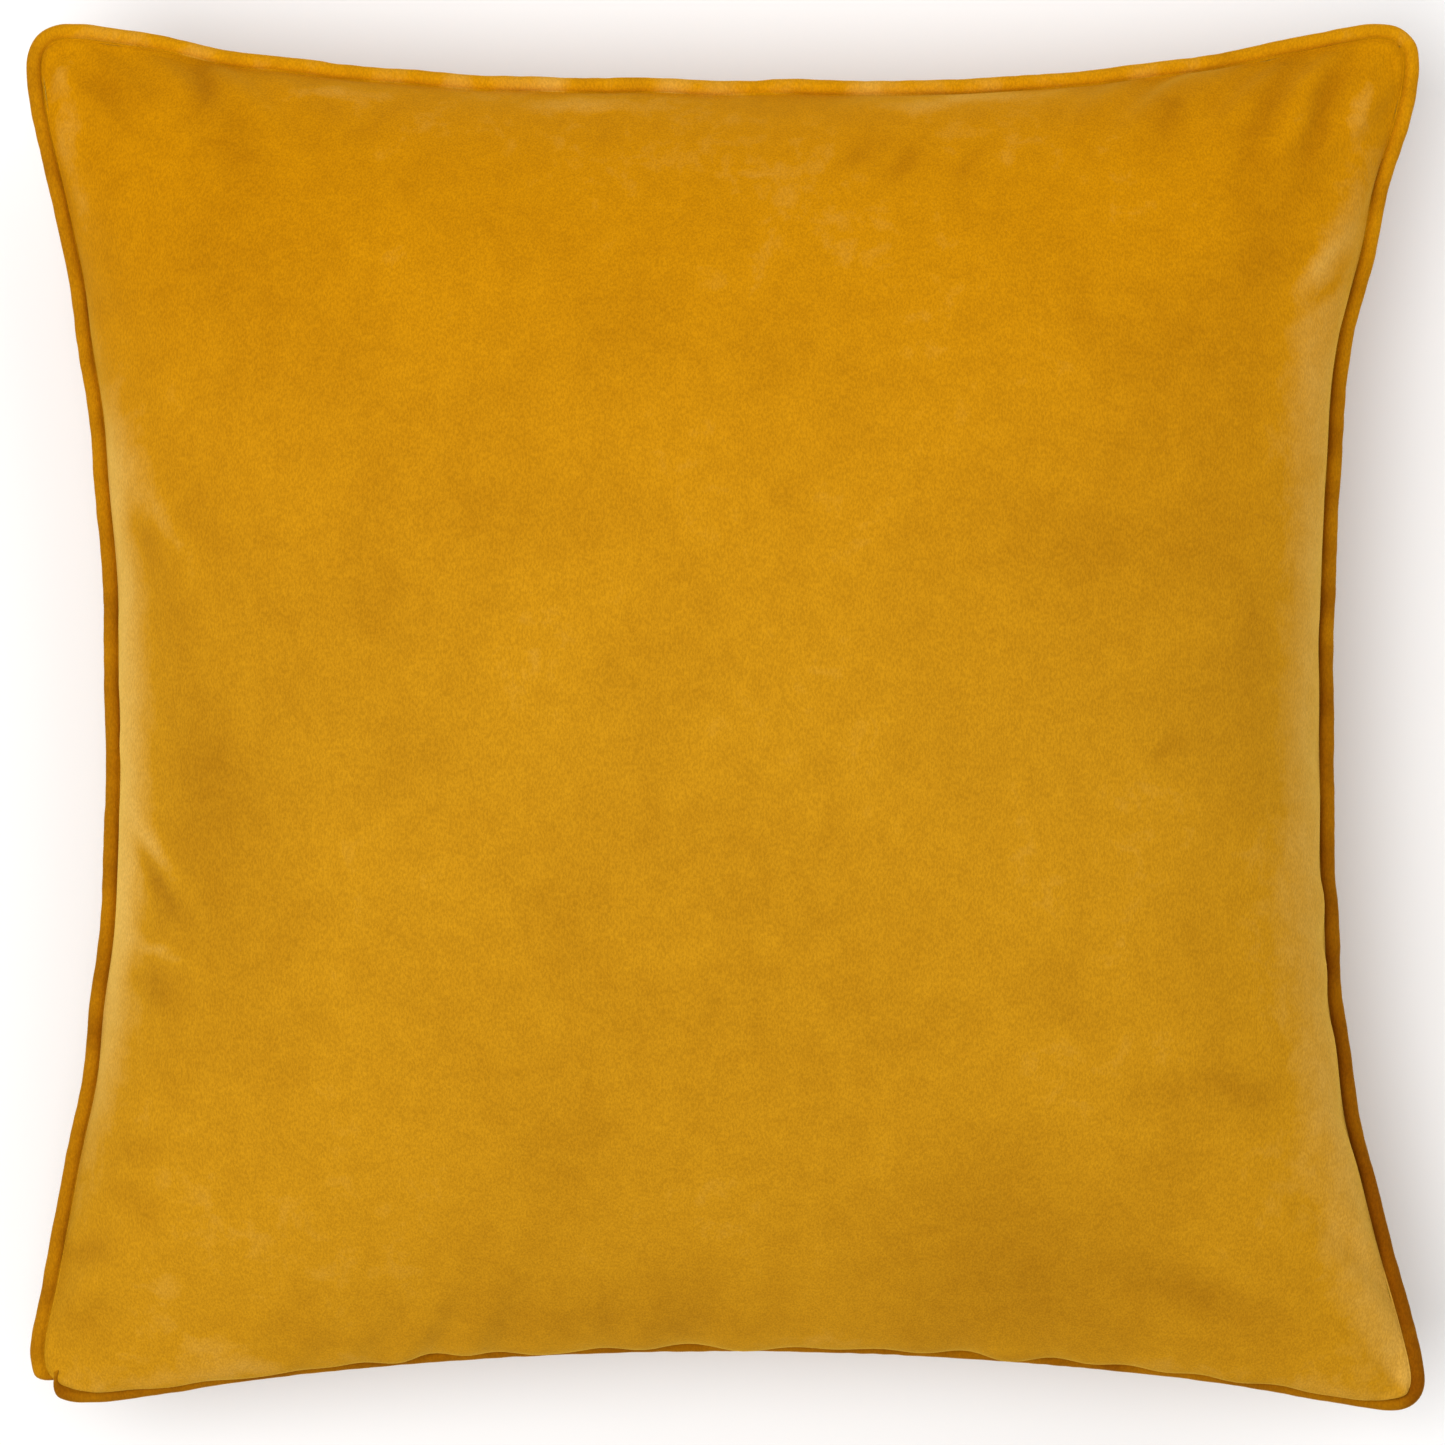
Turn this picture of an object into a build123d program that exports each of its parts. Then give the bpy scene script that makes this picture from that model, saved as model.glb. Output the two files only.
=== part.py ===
from build123d import *
from math import asin, cos, degrees, hypot, radians, sin
import os

# Throw pillow: piped velvet cover with a zip in its lower edge, round a filled inner cushion.
#
# The pillow lies on its back, with its face up (+Z) and its upper edge towards +Y.
# The origin is on the resting surface, under the middle of the pillow.

os.makedirs("parts", exist_ok=True)

# ---------------------------------------------------------------- driving dimensions (mm)
seam_width = 554.0  # between the corners of the seam line, before they are rounded
seam_height = 546.6
sag_left = 34.8  # how far each side pulls in between its corners
sag_right = 38.2
sag_top = 25.6
sag_bottom = 25.0
corner_radius = 12.0

back_depth = 78.0  # from the seam to the resting face
flange_half = 1.0  # half the thickness of the piping flange caught in the seam
seam_level = back_depth + flange_half
panel_thickness = 1.2
seam_allowance = 12.0

piping_radius = 3.0
cord_radius = 2.0
join_reach = 30.0  # box that parts the piping's two ends
join_width = 0.6
overlock_width = 0.8
overlap = 0.1  # by which parts of one solid run into each other
fit_gap = 0.3  # between parts of the zip that slide or lie on each other

insert_inset = 16.0  # the inner cushion's seam, inside the cover's seam
insert_gap = 4.2  # between the outsides of the cover and of the inner cushion
casing_thickness = 0.6
thread_radius = 0.2

band_slope = radians(45)  # the cover's slope from the seam down to the resting face
zip_length = 380.0  # between the end stops
zip_opening = 400.0  # slot in the back panel
chain_place = 9.0  # the chain's middle, down the slope from the seam
hem_lip = 13.4  # where the back panel starts again below the chain
hem_width = 8.0  # folded under
tape_thickness = 0.5
tape_depth = 2.65  # middle of the tapes, under the cover's surface
coil_width = 1.5
coil_height = 2.0
coil_gap = 1.6  # room for the slider's post between the two coils
tape_overlap = 1.0  # the chain's middle to the edges of the tapes
tape_seam_gap = 1.2  # where the upper tape starts inside the seam line
tape_edge_gap = 0.4  # the upper tape to the edge of the allowance
lower_tape_reach = 15.0  # from the chain's middle
stop_length = 2.0
stop_margin = 0.2  # of the stops past the coils
stop_rise = 0.3

slider_length = 10.0
slider_width = 7.4
slider_plate = 0.8
pull_length = 24.0
pull_width = 5.0
pull_thickness = 0.8

# Crowned halves as levels: inset from the seam line, rise from the seam, corner radius.
# The first band is straight at 45 degrees, which is where the zip lies.
front_levels = [
    (0.0, 0.0, corner_radius),
    (20.0, 20.0, 26.0),
    (45.0, 42.0, 62.0),
    (80.0, 64.0, 92.0),
    (120.0, 80.5, 90.0),
    (160.0, 89.5, 68.0),
    (195.0, 92.8, 42.0),
    (225.0, 94.0, 13.0),
]
back_levels = [
    (0.0, 0.0, corner_radius),
    (20.0, 20.0, 26.0),
    (45.0, 41.0, 62.0),
    (80.0, 61.0, 92.0),
    (112.0, 72.5, 94.0),
    (140.0, 77.0, 80.0),
    (165.0, back_depth, 62.0),
]


# ---------------------------------------------------------------- shared shapes
def seam_outline(inset, radius):
    """Face of the pinched square, inset from the seam line, with rounded corners."""
    x, y = seam_width / 2, seam_height / 2
    with BuildSketch() as outline:
        with BuildLine():
            ThreePointArc((-x, -y), (0, -y + sag_bottom), (x, -y))
            ThreePointArc((x, -y), (x - sag_right, 0), (x, y))
            ThreePointArc((x, y), (0, y - sag_top), (-x, y))
            ThreePointArc((-x, y), (-x + sag_left, 0), (-x, -y))
        make_face()
        if inset > 0:
            offset(amount=-inset)
        fillet(outline.vertices(), radius)
        if inset < 0:
            offset(amount=-inset)
    return outline.sketch


def inside_levels(levels, thickness):
    """The same levels, moved in by a thickness square to the slope."""
    moved = []
    last = len(levels) - 1
    for i, (inset, rise, radius) in enumerate(levels):
        before = levels[max(i - 1, 0)]
        after = levels[min(i + 1, last)]
        run = after[0] - before[0]
        climb = after[1] - before[1]
        slope_length = hypot(run, climb)
        if i == 0:
            shift, drop = thickness * slope_length / climb, 0.0
        elif i == last:
            shift, drop = 0.0, thickness
        else:
            shift = thickness * climb / slope_length
            drop = thickness * run / slope_length
        moved.append((inset + shift, rise - drop, radius - shift))
    return moved


def insert_levels(levels):
    """Levels of the inner cushion, which starts at its own seam inside the cover's."""
    inner = inside_levels(levels, insert_gap)
    return [(insert_inset, 0.0, corner_radius)] + inner[1:]


def crowned_half(levels, start, side):
    """Solid half cushion from the level start, rising (side 1) or falling (side -1)."""
    with BuildPart() as half:
        for inset, rise, radius in levels[:2]:
            with BuildSketch(Plane.XY.offset(start + side * rise)):
                add(seam_outline(inset, radius))
        loft(ruled=True)
        for inset, rise, radius in levels[1:]:
            with BuildSketch(Plane.XY.offset(start + side * rise)):
                add(seam_outline(inset, radius))
        loft()
    return half.part


def flat_ring(low, high, outer_inset, inner_inset):
    """Level ring between two insets of the seam line."""
    with BuildPart() as ring:
        with BuildSketch(Plane.XY.offset(low)):
            add(seam_outline(outer_inset, corner_radius))
            add(seam_outline(inner_inset, corner_radius), mode=Mode.SUBTRACT)
        extrude(amount=high - low)
    return ring.part


def seam_tube(inset, level, outer, inner=0.0):
    """Round tube along the seam line at an inset, solid if it has no inner radius."""
    loop = seam_outline(inset, corner_radius).face().outer_wire()
    path = Plane.XY.offset(level) * loop
    start = path @ 0
    with BuildPart() as tube:
        with BuildSketch(Plane(origin=start, z_dir=path % 0)):
            Circle(outer)
            if inner > 0:
                Circle(inner, mode=Mode.SUBTRACT)
        sweep(path=path)
    return tube.part


# ---------------------------------------------------------------- the zip's band
# The lower edge is an arc about a far axis, so everything on the zip is turned about it.
edge_radius = ((seam_width / 2) ** 2 + sag_bottom**2) / (2 * sag_bottom)
far_y = -seam_height / 2 + sag_bottom - edge_radius
far_axis = Axis((0, far_y, 0), (0, 0, 1))
band_start = seam_level - flange_half


def edge_angle(length):
    """Angle in degrees that a length along the lower edge takes about the far axis."""
    return degrees(length / edge_radius)


def band_plane(place):
    """Plane across the zip's band: X down the slope from the seam, Y out of the cover."""
    turn = radians(edge_angle(place))
    outward = Vector(sin(turn), cos(turn), 0)
    slope = outward * cos(band_slope) - Vector(0, 0, sin(band_slope))
    along = Vector(-cos(turn), sin(turn), 0)
    rim = Vector(0, far_y, band_start) + outward * edge_radius
    return Plane(origin=rim, x_dir=slope, z_dir=along)


def band_strip(down, out, start, end):
    """Solid along the band between two distances down the slope and two heights."""
    with BuildPart() as strip:
        with BuildSketch(band_plane(end)):
            with Locations(((down[0] + down[1]) / 2, (out[0] + out[1]) / 2)):
                Rectangle(down[1] - down[0], out[1] - out[0])
        revolve(axis=far_axis, revolution_arc=edge_angle(end - start))
    return strip.part


zip_end = zip_length / 2
tape_top = -tape_depth + tape_thickness / 2
tape_under = -tape_depth - tape_thickness / 2
coil_top = tape_top + coil_height
upper_coil = (chain_place - coil_gap / 2 - coil_width, chain_place - coil_gap / 2)
lower_coil = (chain_place + coil_gap / 2, chain_place + coil_gap / 2 + coil_width)
tape_end = zip_opening / 2 - 2.0

# ---------------------------------------------------------------- cover: front panel
front_start = seam_level + flange_half
front_outside = crowned_half(front_levels, front_start, 1)
front_inside = crowned_half(inside_levels(front_levels, panel_thickness), front_start, 1)
front_allowance = flat_ring(
    front_start, front_start + panel_thickness, 0.0, seam_allowance
)
with BuildPart() as front_panel:
    add(front_outside)
    add(front_inside, mode=Mode.SUBTRACT)
    add(front_allowance)
front_panel.part.label = "front_panel"
export_step(front_panel.part, "parts/front_panel.step")

# ---------------------------------------------------------------- cover: back panel
back_outside = crowned_half(back_levels, band_start, -1)
back_inside = crowned_half(inside_levels(back_levels, panel_thickness), band_start, -1)
back_allowance = flat_ring(
    band_start - panel_thickness, band_start, 0.0, seam_allowance
)
slot_half = zip_opening / 2
slot_depth = (-12.0, 4.0)  # through the panel and its allowance
zip_slot = band_strip((-6.0, hem_lip), slot_depth, -slot_half, slot_half)
hem_fold = band_strip(
    (hem_lip, hem_lip + hem_width),
    (-2 * panel_thickness, -panel_thickness + overlap),
    -slot_half,
    slot_half,
)
with BuildPart() as back_panel:
    add(back_outside)
    add(back_inside, mode=Mode.SUBTRACT)
    add(back_allowance)
    add(zip_slot, mode=Mode.SUBTRACT)
    add(hem_fold)
back_panel.part.label = "back_panel"
export_step(back_panel.part, "parts/back_panel.step")

# ---------------------------------------------------------------- piping
# The two ends of the piping meet in the lower left corner.
wall_tube = seam_tube(-piping_radius, seam_level, piping_radius, cord_radius)
whole_cord = seam_tube(-piping_radius, seam_level, cord_radius)
flange_reach = piping_radius - cord_radius - overlap  # into the wall, short of the cord
flange = flat_ring(
    band_start, seam_level + flange_half, -flange_reach, seam_allowance
)
join_corner = Plane(
    origin=(-seam_width / 2, -seam_height / 2, seam_level), x_dir=(1, 1, 0), z_dir=(0, 0, 1)
)
with BuildPart() as join_gap:
    with BuildSketch(join_corner):
        Rectangle(join_reach, join_width)
    extrude(amount=piping_radius + 1, both=True)

with BuildPart() as piping_wrap:
    add(wall_tube)
    add(join_gap, mode=Mode.SUBTRACT)
    add(flange)
piping_wrap.part.label = "piping_wrap"
export_step(piping_wrap.part, "parts/piping_wrap.step")

with BuildPart() as piping_cord:
    add(whole_cord)
    add(join_gap, mode=Mode.SUBTRACT)
piping_cord.part.label = "piping_cord"
export_step(piping_cord.part, "parts/piping_cord.step")

# ---------------------------------------------------------------- seam stitching
stitch_inset = 4.0
stitch_height = flange_half + panel_thickness + thread_radius
front_stitches = seam_tube(stitch_inset, seam_level + stitch_height, thread_radius)
back_stitches = seam_tube(stitch_inset, seam_level - stitch_height, thread_radius)
with BuildPart() as cover_seam_thread:
    add(back_stitches)
    add(zip_slot, mode=Mode.SUBTRACT)
    add(front_stitches)
cover_seam_thread.part.label = "cover_seam_thread"
export_step(cover_seam_thread.part, "parts/cover_seam_thread.step")

allowance_half = flange_half + panel_thickness
overlock_edging = flat_ring(
    seam_level - allowance_half,
    seam_level + allowance_half,
    seam_allowance,
    seam_allowance + overlock_width,
)
overlock_edging.label = "overlock_edging"
export_step(overlock_edging, "parts/overlock_edging.step")

# ---------------------------------------------------------------- zip tapes
# The upper tape lies in the seam allowance, turns at the seam and comes down to the chain.
def edge_profile_plane(place):
    """Upright plane through the far axis, at a place along the lower edge."""
    turn = radians(edge_angle(place))
    along = Vector(cos(turn), -sin(turn), 0)
    return Plane(origin=(0, far_y, 0), x_dir=(sin(turn), cos(turn), 0), z_dir=along)


middle_band = band_plane(0)
tape_bend = middle_band.from_local_coords((upper_coil[0] - fit_gap, -tape_depth, 0))
tape_edge = middle_band.from_local_coords((chain_place - tape_overlap, -tape_depth, 0))
margin_level = band_start - tape_thickness / 2 - fit_gap
with BuildPart() as zip_tape_upper:
    with BuildSketch(edge_profile_plane(tape_end)):
        with BuildLine():
            Polyline(
                (edge_radius + seam_allowance - tape_edge_gap, margin_level),
                (edge_radius + tape_seam_gap, margin_level),
                (tape_bend.Y - far_y, tape_bend.Z),
                (tape_edge.Y - far_y, tape_edge.Z),
            )
        trace(line_width=tape_thickness)
    revolve(axis=far_axis, revolution_arc=2 * edge_angle(tape_end))
zip_tape_upper.part.label = "zip_tape_upper"
export_step(zip_tape_upper.part, "parts/zip_tape_upper.step")

lower_tape_down = (chain_place + tape_overlap, chain_place + lower_tape_reach)
zip_tape_lower = band_strip(lower_tape_down, (tape_under, tape_top), -tape_end, tape_end)
zip_tape_lower.label = "zip_tape_lower"
export_step(zip_tape_lower, "parts/zip_tape_lower.step")

# ---------------------------------------------------------------- zip coils and stops
coil_out = (tape_top, coil_top)
zip_coil_upper = band_strip(upper_coil, coil_out, -zip_end, zip_end)
zip_coil_upper.label = "zip_coil_upper"
export_step(zip_coil_upper, "parts/zip_coil_upper.step")

zip_coil_lower = band_strip(lower_coil, coil_out, -zip_end, zip_end)
zip_coil_lower.label = "zip_coil_lower"
export_step(zip_coil_lower, "parts/zip_coil_lower.step")

stop_out = (tape_top, coil_top + stop_rise)
closed_stop = (zip_end, zip_end + stop_length)
upper_stop_down = (upper_coil[0] - stop_margin, upper_coil[1])
lower_stop_down = (lower_coil[0], lower_coil[1] + stop_margin)
upper_stop = band_strip(upper_stop_down, stop_out, *closed_stop)
lower_stop = band_strip(lower_stop_down, stop_out, *closed_stop)
with BuildPart() as zip_top_stops:
    add(upper_stop)
    add(lower_stop)
zip_top_stops.part.label = "zip_top_stops"
export_step(zip_top_stops.part, "parts/zip_top_stops.step")

zip_bottom_stop = band_strip(
    (upper_stop_down[0], lower_stop_down[1]),
    stop_out,
    -zip_end - stop_length,
    -zip_end,
)
zip_bottom_stop.label = "zip_bottom_stop"
export_step(zip_bottom_stop, "parts/zip_bottom_stop.step")

# ---------------------------------------------------------------- slider
# Slider axes: X along the chain towards its closed end, Y down the slope, Z out of the cover.
stop_gap = 0.6
slider_place = zip_end - slider_length / 2 - stop_gap
slider_cut = band_plane(slider_place)
slider_origin = slider_cut.from_local_coords((chain_place, 0, 0))
slider_plane = Plane(origin=slider_origin, x_dir=-slider_cut.z_dir, z_dir=slider_cut.y_dir)

plate_low = coil_top + fit_gap
lower_plate_top = tape_under - fit_gap
flange_low = tape_top + 0.7
flange_width = 0.9
post_width = 1.0
post_length = 2.4
post_setback = 1.6  # the post's middle from the slider's nose
bridge_width = 1.8
bridge_length = 7.0
bridge_rise = 2.5
bridge_bar = 0.8
bridge_rounding = 0.7
pin_radius = 0.45
pin_rise = 0.8  # above the plate

pin_height = plate_low + slider_plate + pin_rise
out_axis = Axis(slider_origin, slider_plane.z_dir)
down_axis = Axis(slider_origin, slider_plane.y_dir)
plate_corner = 2.4

with BuildPart() as zip_slider:
    with BuildSketch(slider_plane.offset(plate_low)):
        RectangleRounded(slider_length, slider_width, plate_corner)
    extrude(amount=slider_plate)
    with BuildSketch(slider_plane.offset(lower_plate_top - slider_plate)):
        RectangleRounded(slider_length, slider_width, plate_corner)
    extrude(amount=slider_plate)
    with BuildSketch(slider_plane.offset(flange_low)):
        flange_side = (slider_width - flange_width) / 2
        with Locations((0, flange_side), (0, -flange_side)):
            Rectangle(slider_length - 2 * plate_corner, flange_width)
    extrude(amount=plate_low - flange_low)
    with BuildSketch(slider_plane.offset(lower_plate_top)):
        with Locations((slider_length / 2 - post_setback, 0)):
            SlotOverall(post_length, post_width)
    extrude(amount=plate_low - lower_plate_top)
    with BuildSketch(slider_plane.offset(plate_low + slider_plate)):
        Rectangle(bridge_length, bridge_width)
    extrude(amount=bridge_rise)
    with BuildSketch(slider_plane.offset(plate_low + slider_plate)):
        Rectangle(bridge_length - 2 * bridge_bar, bridge_width + 1)
    extrude(amount=bridge_rise - bridge_bar, mode=Mode.SUBTRACT)
    bridge_top = zip_slider.faces().sort_by(out_axis)[-1]
    fillet(bridge_top.edges().filter_by(down_axis), bridge_rounding)
zip_slider.part.label = "zip_slider"
export_step(zip_slider.part, "parts/zip_slider.step")

# ---------------------------------------------------------------- pull tab
# It lies flat over the chain, and turns on its own cross bar under the slider's bridge.
window_length = 4.3
window_width = bridge_width + 0.8
grip_slot = 10.0
grip_margin = 2.0  # from the slot to the pull's end
grip_side = 1.4  # and to its sides
pull_corner = 1.6
pin_margin = 0.3  # the pin ends short of the pull's sides
pull_reach = pull_length / 2 - pin_radius
with BuildPart() as zip_pull:
    with BuildSketch(slider_plane.offset(pin_height - pull_thickness / 2)):
        with Locations((-pull_reach, 0)):
            RectangleRounded(pull_length, pull_width, pull_corner)
        with Locations((-window_length / 2, 0)):
            Rectangle(window_length, window_width, mode=Mode.SUBTRACT)
        with Locations((-pull_length + grip_slot / 2 + grip_margin, 0)):
            SlotOverall(grip_slot, pull_width - 2 * grip_side, mode=Mode.SUBTRACT)
    extrude(amount=pull_thickness)
    pin_centre = slider_plane.from_local_coords((0, 0, pin_height))
    with BuildSketch(Plane(origin=pin_centre, z_dir=slider_plane.y_dir)):
        Circle(pin_radius)
    extrude(amount=pull_width / 2 - pin_margin, both=True)
zip_pull.part.label = "zip_pull"
export_step(zip_pull.part, "parts/zip_pull.step")

# ---------------------------------------------------------------- zip stitching
row_down = (hem_lip + 2.5, hem_lip + 3.0)
row_out = (0.2, 0.5)
hem_row = band_strip(row_down, row_out, -tape_end, tape_end)
margin_under = margin_level - tape_thickness / 2
with BuildPart() as margin_row:
    with BuildSketch(edge_profile_plane(tape_end)):
        with Locations((edge_radius + stitch_inset, margin_under - thread_radius)):
            Circle(thread_radius)
    revolve(axis=far_axis, revolution_arc=2 * edge_angle(tape_end))
with BuildPart() as zip_stitching:
    add(hem_row)
    add(margin_row)
zip_stitching.part.label = "zip_stitching"
export_step(zip_stitching.part, "parts/zip_stitching.step")

# ---------------------------------------------------------------- care label
# Blank, caught in the left seam inside the cover, flat against the back panel.
label_length = 21.0
label_width = 30.0
label_thickness = 0.35
label_start = 6.0
label_gap = 0.5  # to the panel's inside face
left_slope = Vector(cos(band_slope), 0, -sin(band_slope))
left_rim = (-seam_width / 2 + sag_left, 0, band_start)
label_plane = Plane(origin=left_rim, x_dir=left_slope, z_dir=(-left_slope.X, 0, left_slope.Z))
with BuildPart() as care_label:
    with BuildSketch(label_plane.offset(-panel_thickness - label_gap - label_thickness)):
        with Locations((label_start + label_length / 2, 0)):
            Rectangle(label_length, label_width)
    extrude(amount=label_thickness)
care_label.part.label = "care_label"
export_step(care_label.part, "parts/care_label.step")

# ---------------------------------------------------------------- inner cushion
insert_front = insert_levels(front_levels)
insert_back = insert_levels(back_levels)
fill_front = inside_levels(insert_front, casing_thickness)
fill_back = inside_levels(insert_back, casing_thickness)
insert_front_outside = crowned_half(insert_front, seam_level, 1)
insert_front_inside = crowned_half(fill_front, seam_level, 1)
insert_back_outside = crowned_half(insert_back, seam_level, -1)
insert_back_inside = crowned_half(fill_back, seam_level, -1)

with BuildPart() as insert_front_casing:
    add(insert_front_outside)
    add(insert_front_inside, mode=Mode.SUBTRACT)
insert_front_casing.part.label = "insert_front_casing"
export_step(insert_front_casing.part, "parts/insert_front_casing.step")

with BuildPart() as insert_back_casing:
    add(insert_back_outside)
    add(insert_back_inside, mode=Mode.SUBTRACT)
insert_back_casing.part.label = "insert_back_casing"
export_step(insert_back_casing.part, "parts/insert_back_casing.step")

with BuildPart() as insert_fill:
    add(insert_front_inside)
    add(insert_back_inside)
insert_fill.part.label = "insert_fill"
export_step(insert_fill.part, "parts/insert_fill.step")

insert_thread_radius = 0.25
insert_thread_inset = insert_inset - 0.3
insert_seam_thread = seam_tube(insert_thread_inset, seam_level, insert_thread_radius)
insert_seam_thread.label = "insert_seam_thread"
export_step(insert_seam_thread, "parts/insert_seam_thread.step")

print("edge radius", round(edge_radius, 3), "far axis y", round(far_y, 3))
print("slider turns", round(edge_angle(2 * slider_place), 3), "degrees to the open end")
print("pin centre", [round(v, 4) for v in pin_centre])
print("pin axis", [round(v, 6) for v in slider_plane.y_dir])
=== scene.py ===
"""Looks of the throw pillow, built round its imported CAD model. Metres throughout.

The cover's two panels are flat squares of cloth. Their seam is drawn in to the pillow's outline
while the filling's pressure crowns them. The piping, seams, zip and inner cushion follow them.
"""

import math

import bpy
import numpy as np
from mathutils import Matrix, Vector
from mathutils.bvhtree import BVHTree


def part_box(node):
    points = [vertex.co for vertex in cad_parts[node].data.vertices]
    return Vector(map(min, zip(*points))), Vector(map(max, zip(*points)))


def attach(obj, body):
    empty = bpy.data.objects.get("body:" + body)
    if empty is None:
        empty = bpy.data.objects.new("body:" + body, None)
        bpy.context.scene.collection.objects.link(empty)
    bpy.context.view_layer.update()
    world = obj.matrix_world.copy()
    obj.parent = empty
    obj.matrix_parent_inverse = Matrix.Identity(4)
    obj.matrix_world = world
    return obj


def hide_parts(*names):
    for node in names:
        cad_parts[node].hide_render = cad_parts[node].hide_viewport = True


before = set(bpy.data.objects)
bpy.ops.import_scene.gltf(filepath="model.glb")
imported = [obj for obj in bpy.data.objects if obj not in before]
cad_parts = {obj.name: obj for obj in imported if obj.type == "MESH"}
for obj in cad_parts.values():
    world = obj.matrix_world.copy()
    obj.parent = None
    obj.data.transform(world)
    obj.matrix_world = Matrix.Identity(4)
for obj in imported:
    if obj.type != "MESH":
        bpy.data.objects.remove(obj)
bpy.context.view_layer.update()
MM = 0.001

# ---- sizes
piping_low, piping_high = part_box("piping_wrap")
SEAM_LEVEL = (piping_low.z + piping_high.z) / 2
PIPING_RADIUS = (piping_high.z - piping_low.z) / 2
CORD_RADIUS = 1.95 * MM
FLANGE_HALF = 1 * MM
SEAM_WIDTH = 554.0 * MM
SEAM_HEIGHT = 546.6 * MM
PANEL_SIDE = 550 * MM  # each panel, seam to seam, laid flat
CLOTH = 1.2 * MM
ALLOWANCE = 12 * MM
HEM_WIDTH = 8 * MM
CORNER_DROOP = 6 * MM
CORNER_DROOP_REACH = 42 * MM
# The seam's corners before rounding, and their radii: lower left, lower right, upper right
# and upper left. A real cover is never quite square.
CORNERS = np.array([(-277.2, -275.2), (278.4, -275.2), (277.4, 274.0), (-278.6, 274.4)]) * MM
CORNER_RADII = (27 * MM, 13 * MM, 17 * MM, 20 * MM)
# How the lower, right, upper and left sides pull in, in mm: factors of t**0 to t**4, where t
# runs from -1 to 1 between the corners, all times 1 - t**2.
PULL_IN = (
    (27.0, 0.0, 0.0, 0.0, 0.0),
    (40.0, -0.5, 31.0, 2.0, -46.0),
    (26.2, -2.5, 23.0, 0.8, -31.0),
    (37.2, 1.5, 6.0, -6.0, -15.0),
)
SPREAD_PER_RADIUS = 4.0  # length of outline averaged to round a corner to a radius
CELLS = 100  # of the cloth, along each side
FINE_CELLS = 206

# The zip's band slopes at 45 degrees from the seam, about the far centre of the lower edge.
EDGE_SAG = 25.0 * MM
EDGE_RADIUS = ((SEAM_WIDTH / 2) ** 2 + EDGE_SAG**2) / (2 * EDGE_SAG)
FAR_Y = -SEAM_HEIGHT / 2 + EDGE_SAG - EDGE_RADIUS
BAND_START = SEAM_LEVEL - FLANGE_HALF
ZIP_HALF = 190 * MM
ZIP_OPENING_HALF = 188 * MM
TAPE_REACH = 200 * MM
CHAIN_PLACE = 9 * MM  # down the slope from the seam
HEM_DROP = 13.4 * MM
HEM_TURN = 14 * MM  # length over which the lip leaves the seam at each end
BAND_HELD = (19 * MM, 32 * MM)  # the panel lies on the band this far, and is free by this far
FREE_OF_ZIP = 30 * MM  # past the tapes, the length by which the seam wavers freely again
SLOPE = math.sqrt(0.5)
UP = np.array([0.0, 0.0, 1.0])


def smooth(x):
    x = np.clip(x, 0, 1)
    return x * x * (3 - 2 * x)


def band_point(place, down, out):
    """Point on the zip's band: length along the edge, down the slope, and out of the cover."""
    turn = np.asarray(place) / EDGE_RADIUS
    radius = EDGE_RADIUS + (down - out) * SLOPE
    z = BAND_START - (down + out) * SLOPE + 0 * turn
    return np.stack([radius * np.sin(turn), FAR_Y + radius * np.cos(turn), z], axis=-1)


def lower_edge_share(xy, half, turn):
    """1 on the lower edge within half of its middle, falling to 0 over turn."""
    beyond = (np.abs(xy[..., 0]) - half) / turn
    return np.where(xy[..., 1] < -0.4 * SEAM_HEIGHT, smooth(1 - beyond), 0.0)


def zip_share(xy, turn):
    """1 as far as the zip's tapes reach."""
    return lower_edge_share(xy, TAPE_REACH, turn)


def hem_share(xy):
    """1 where the back panel is hemmed below the zip, 0 where it is sewn in the seam."""
    return lower_edge_share(xy, ZIP_OPENING_HALF, HEM_TURN)


# ---- the seam line
SEAM_SWAY = 0.45 * MM
SEAM_LIFT = 0.8 * MM
CORNER_LENGTH = 11 * MM  # of the clipped allowances, along the seam


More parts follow.
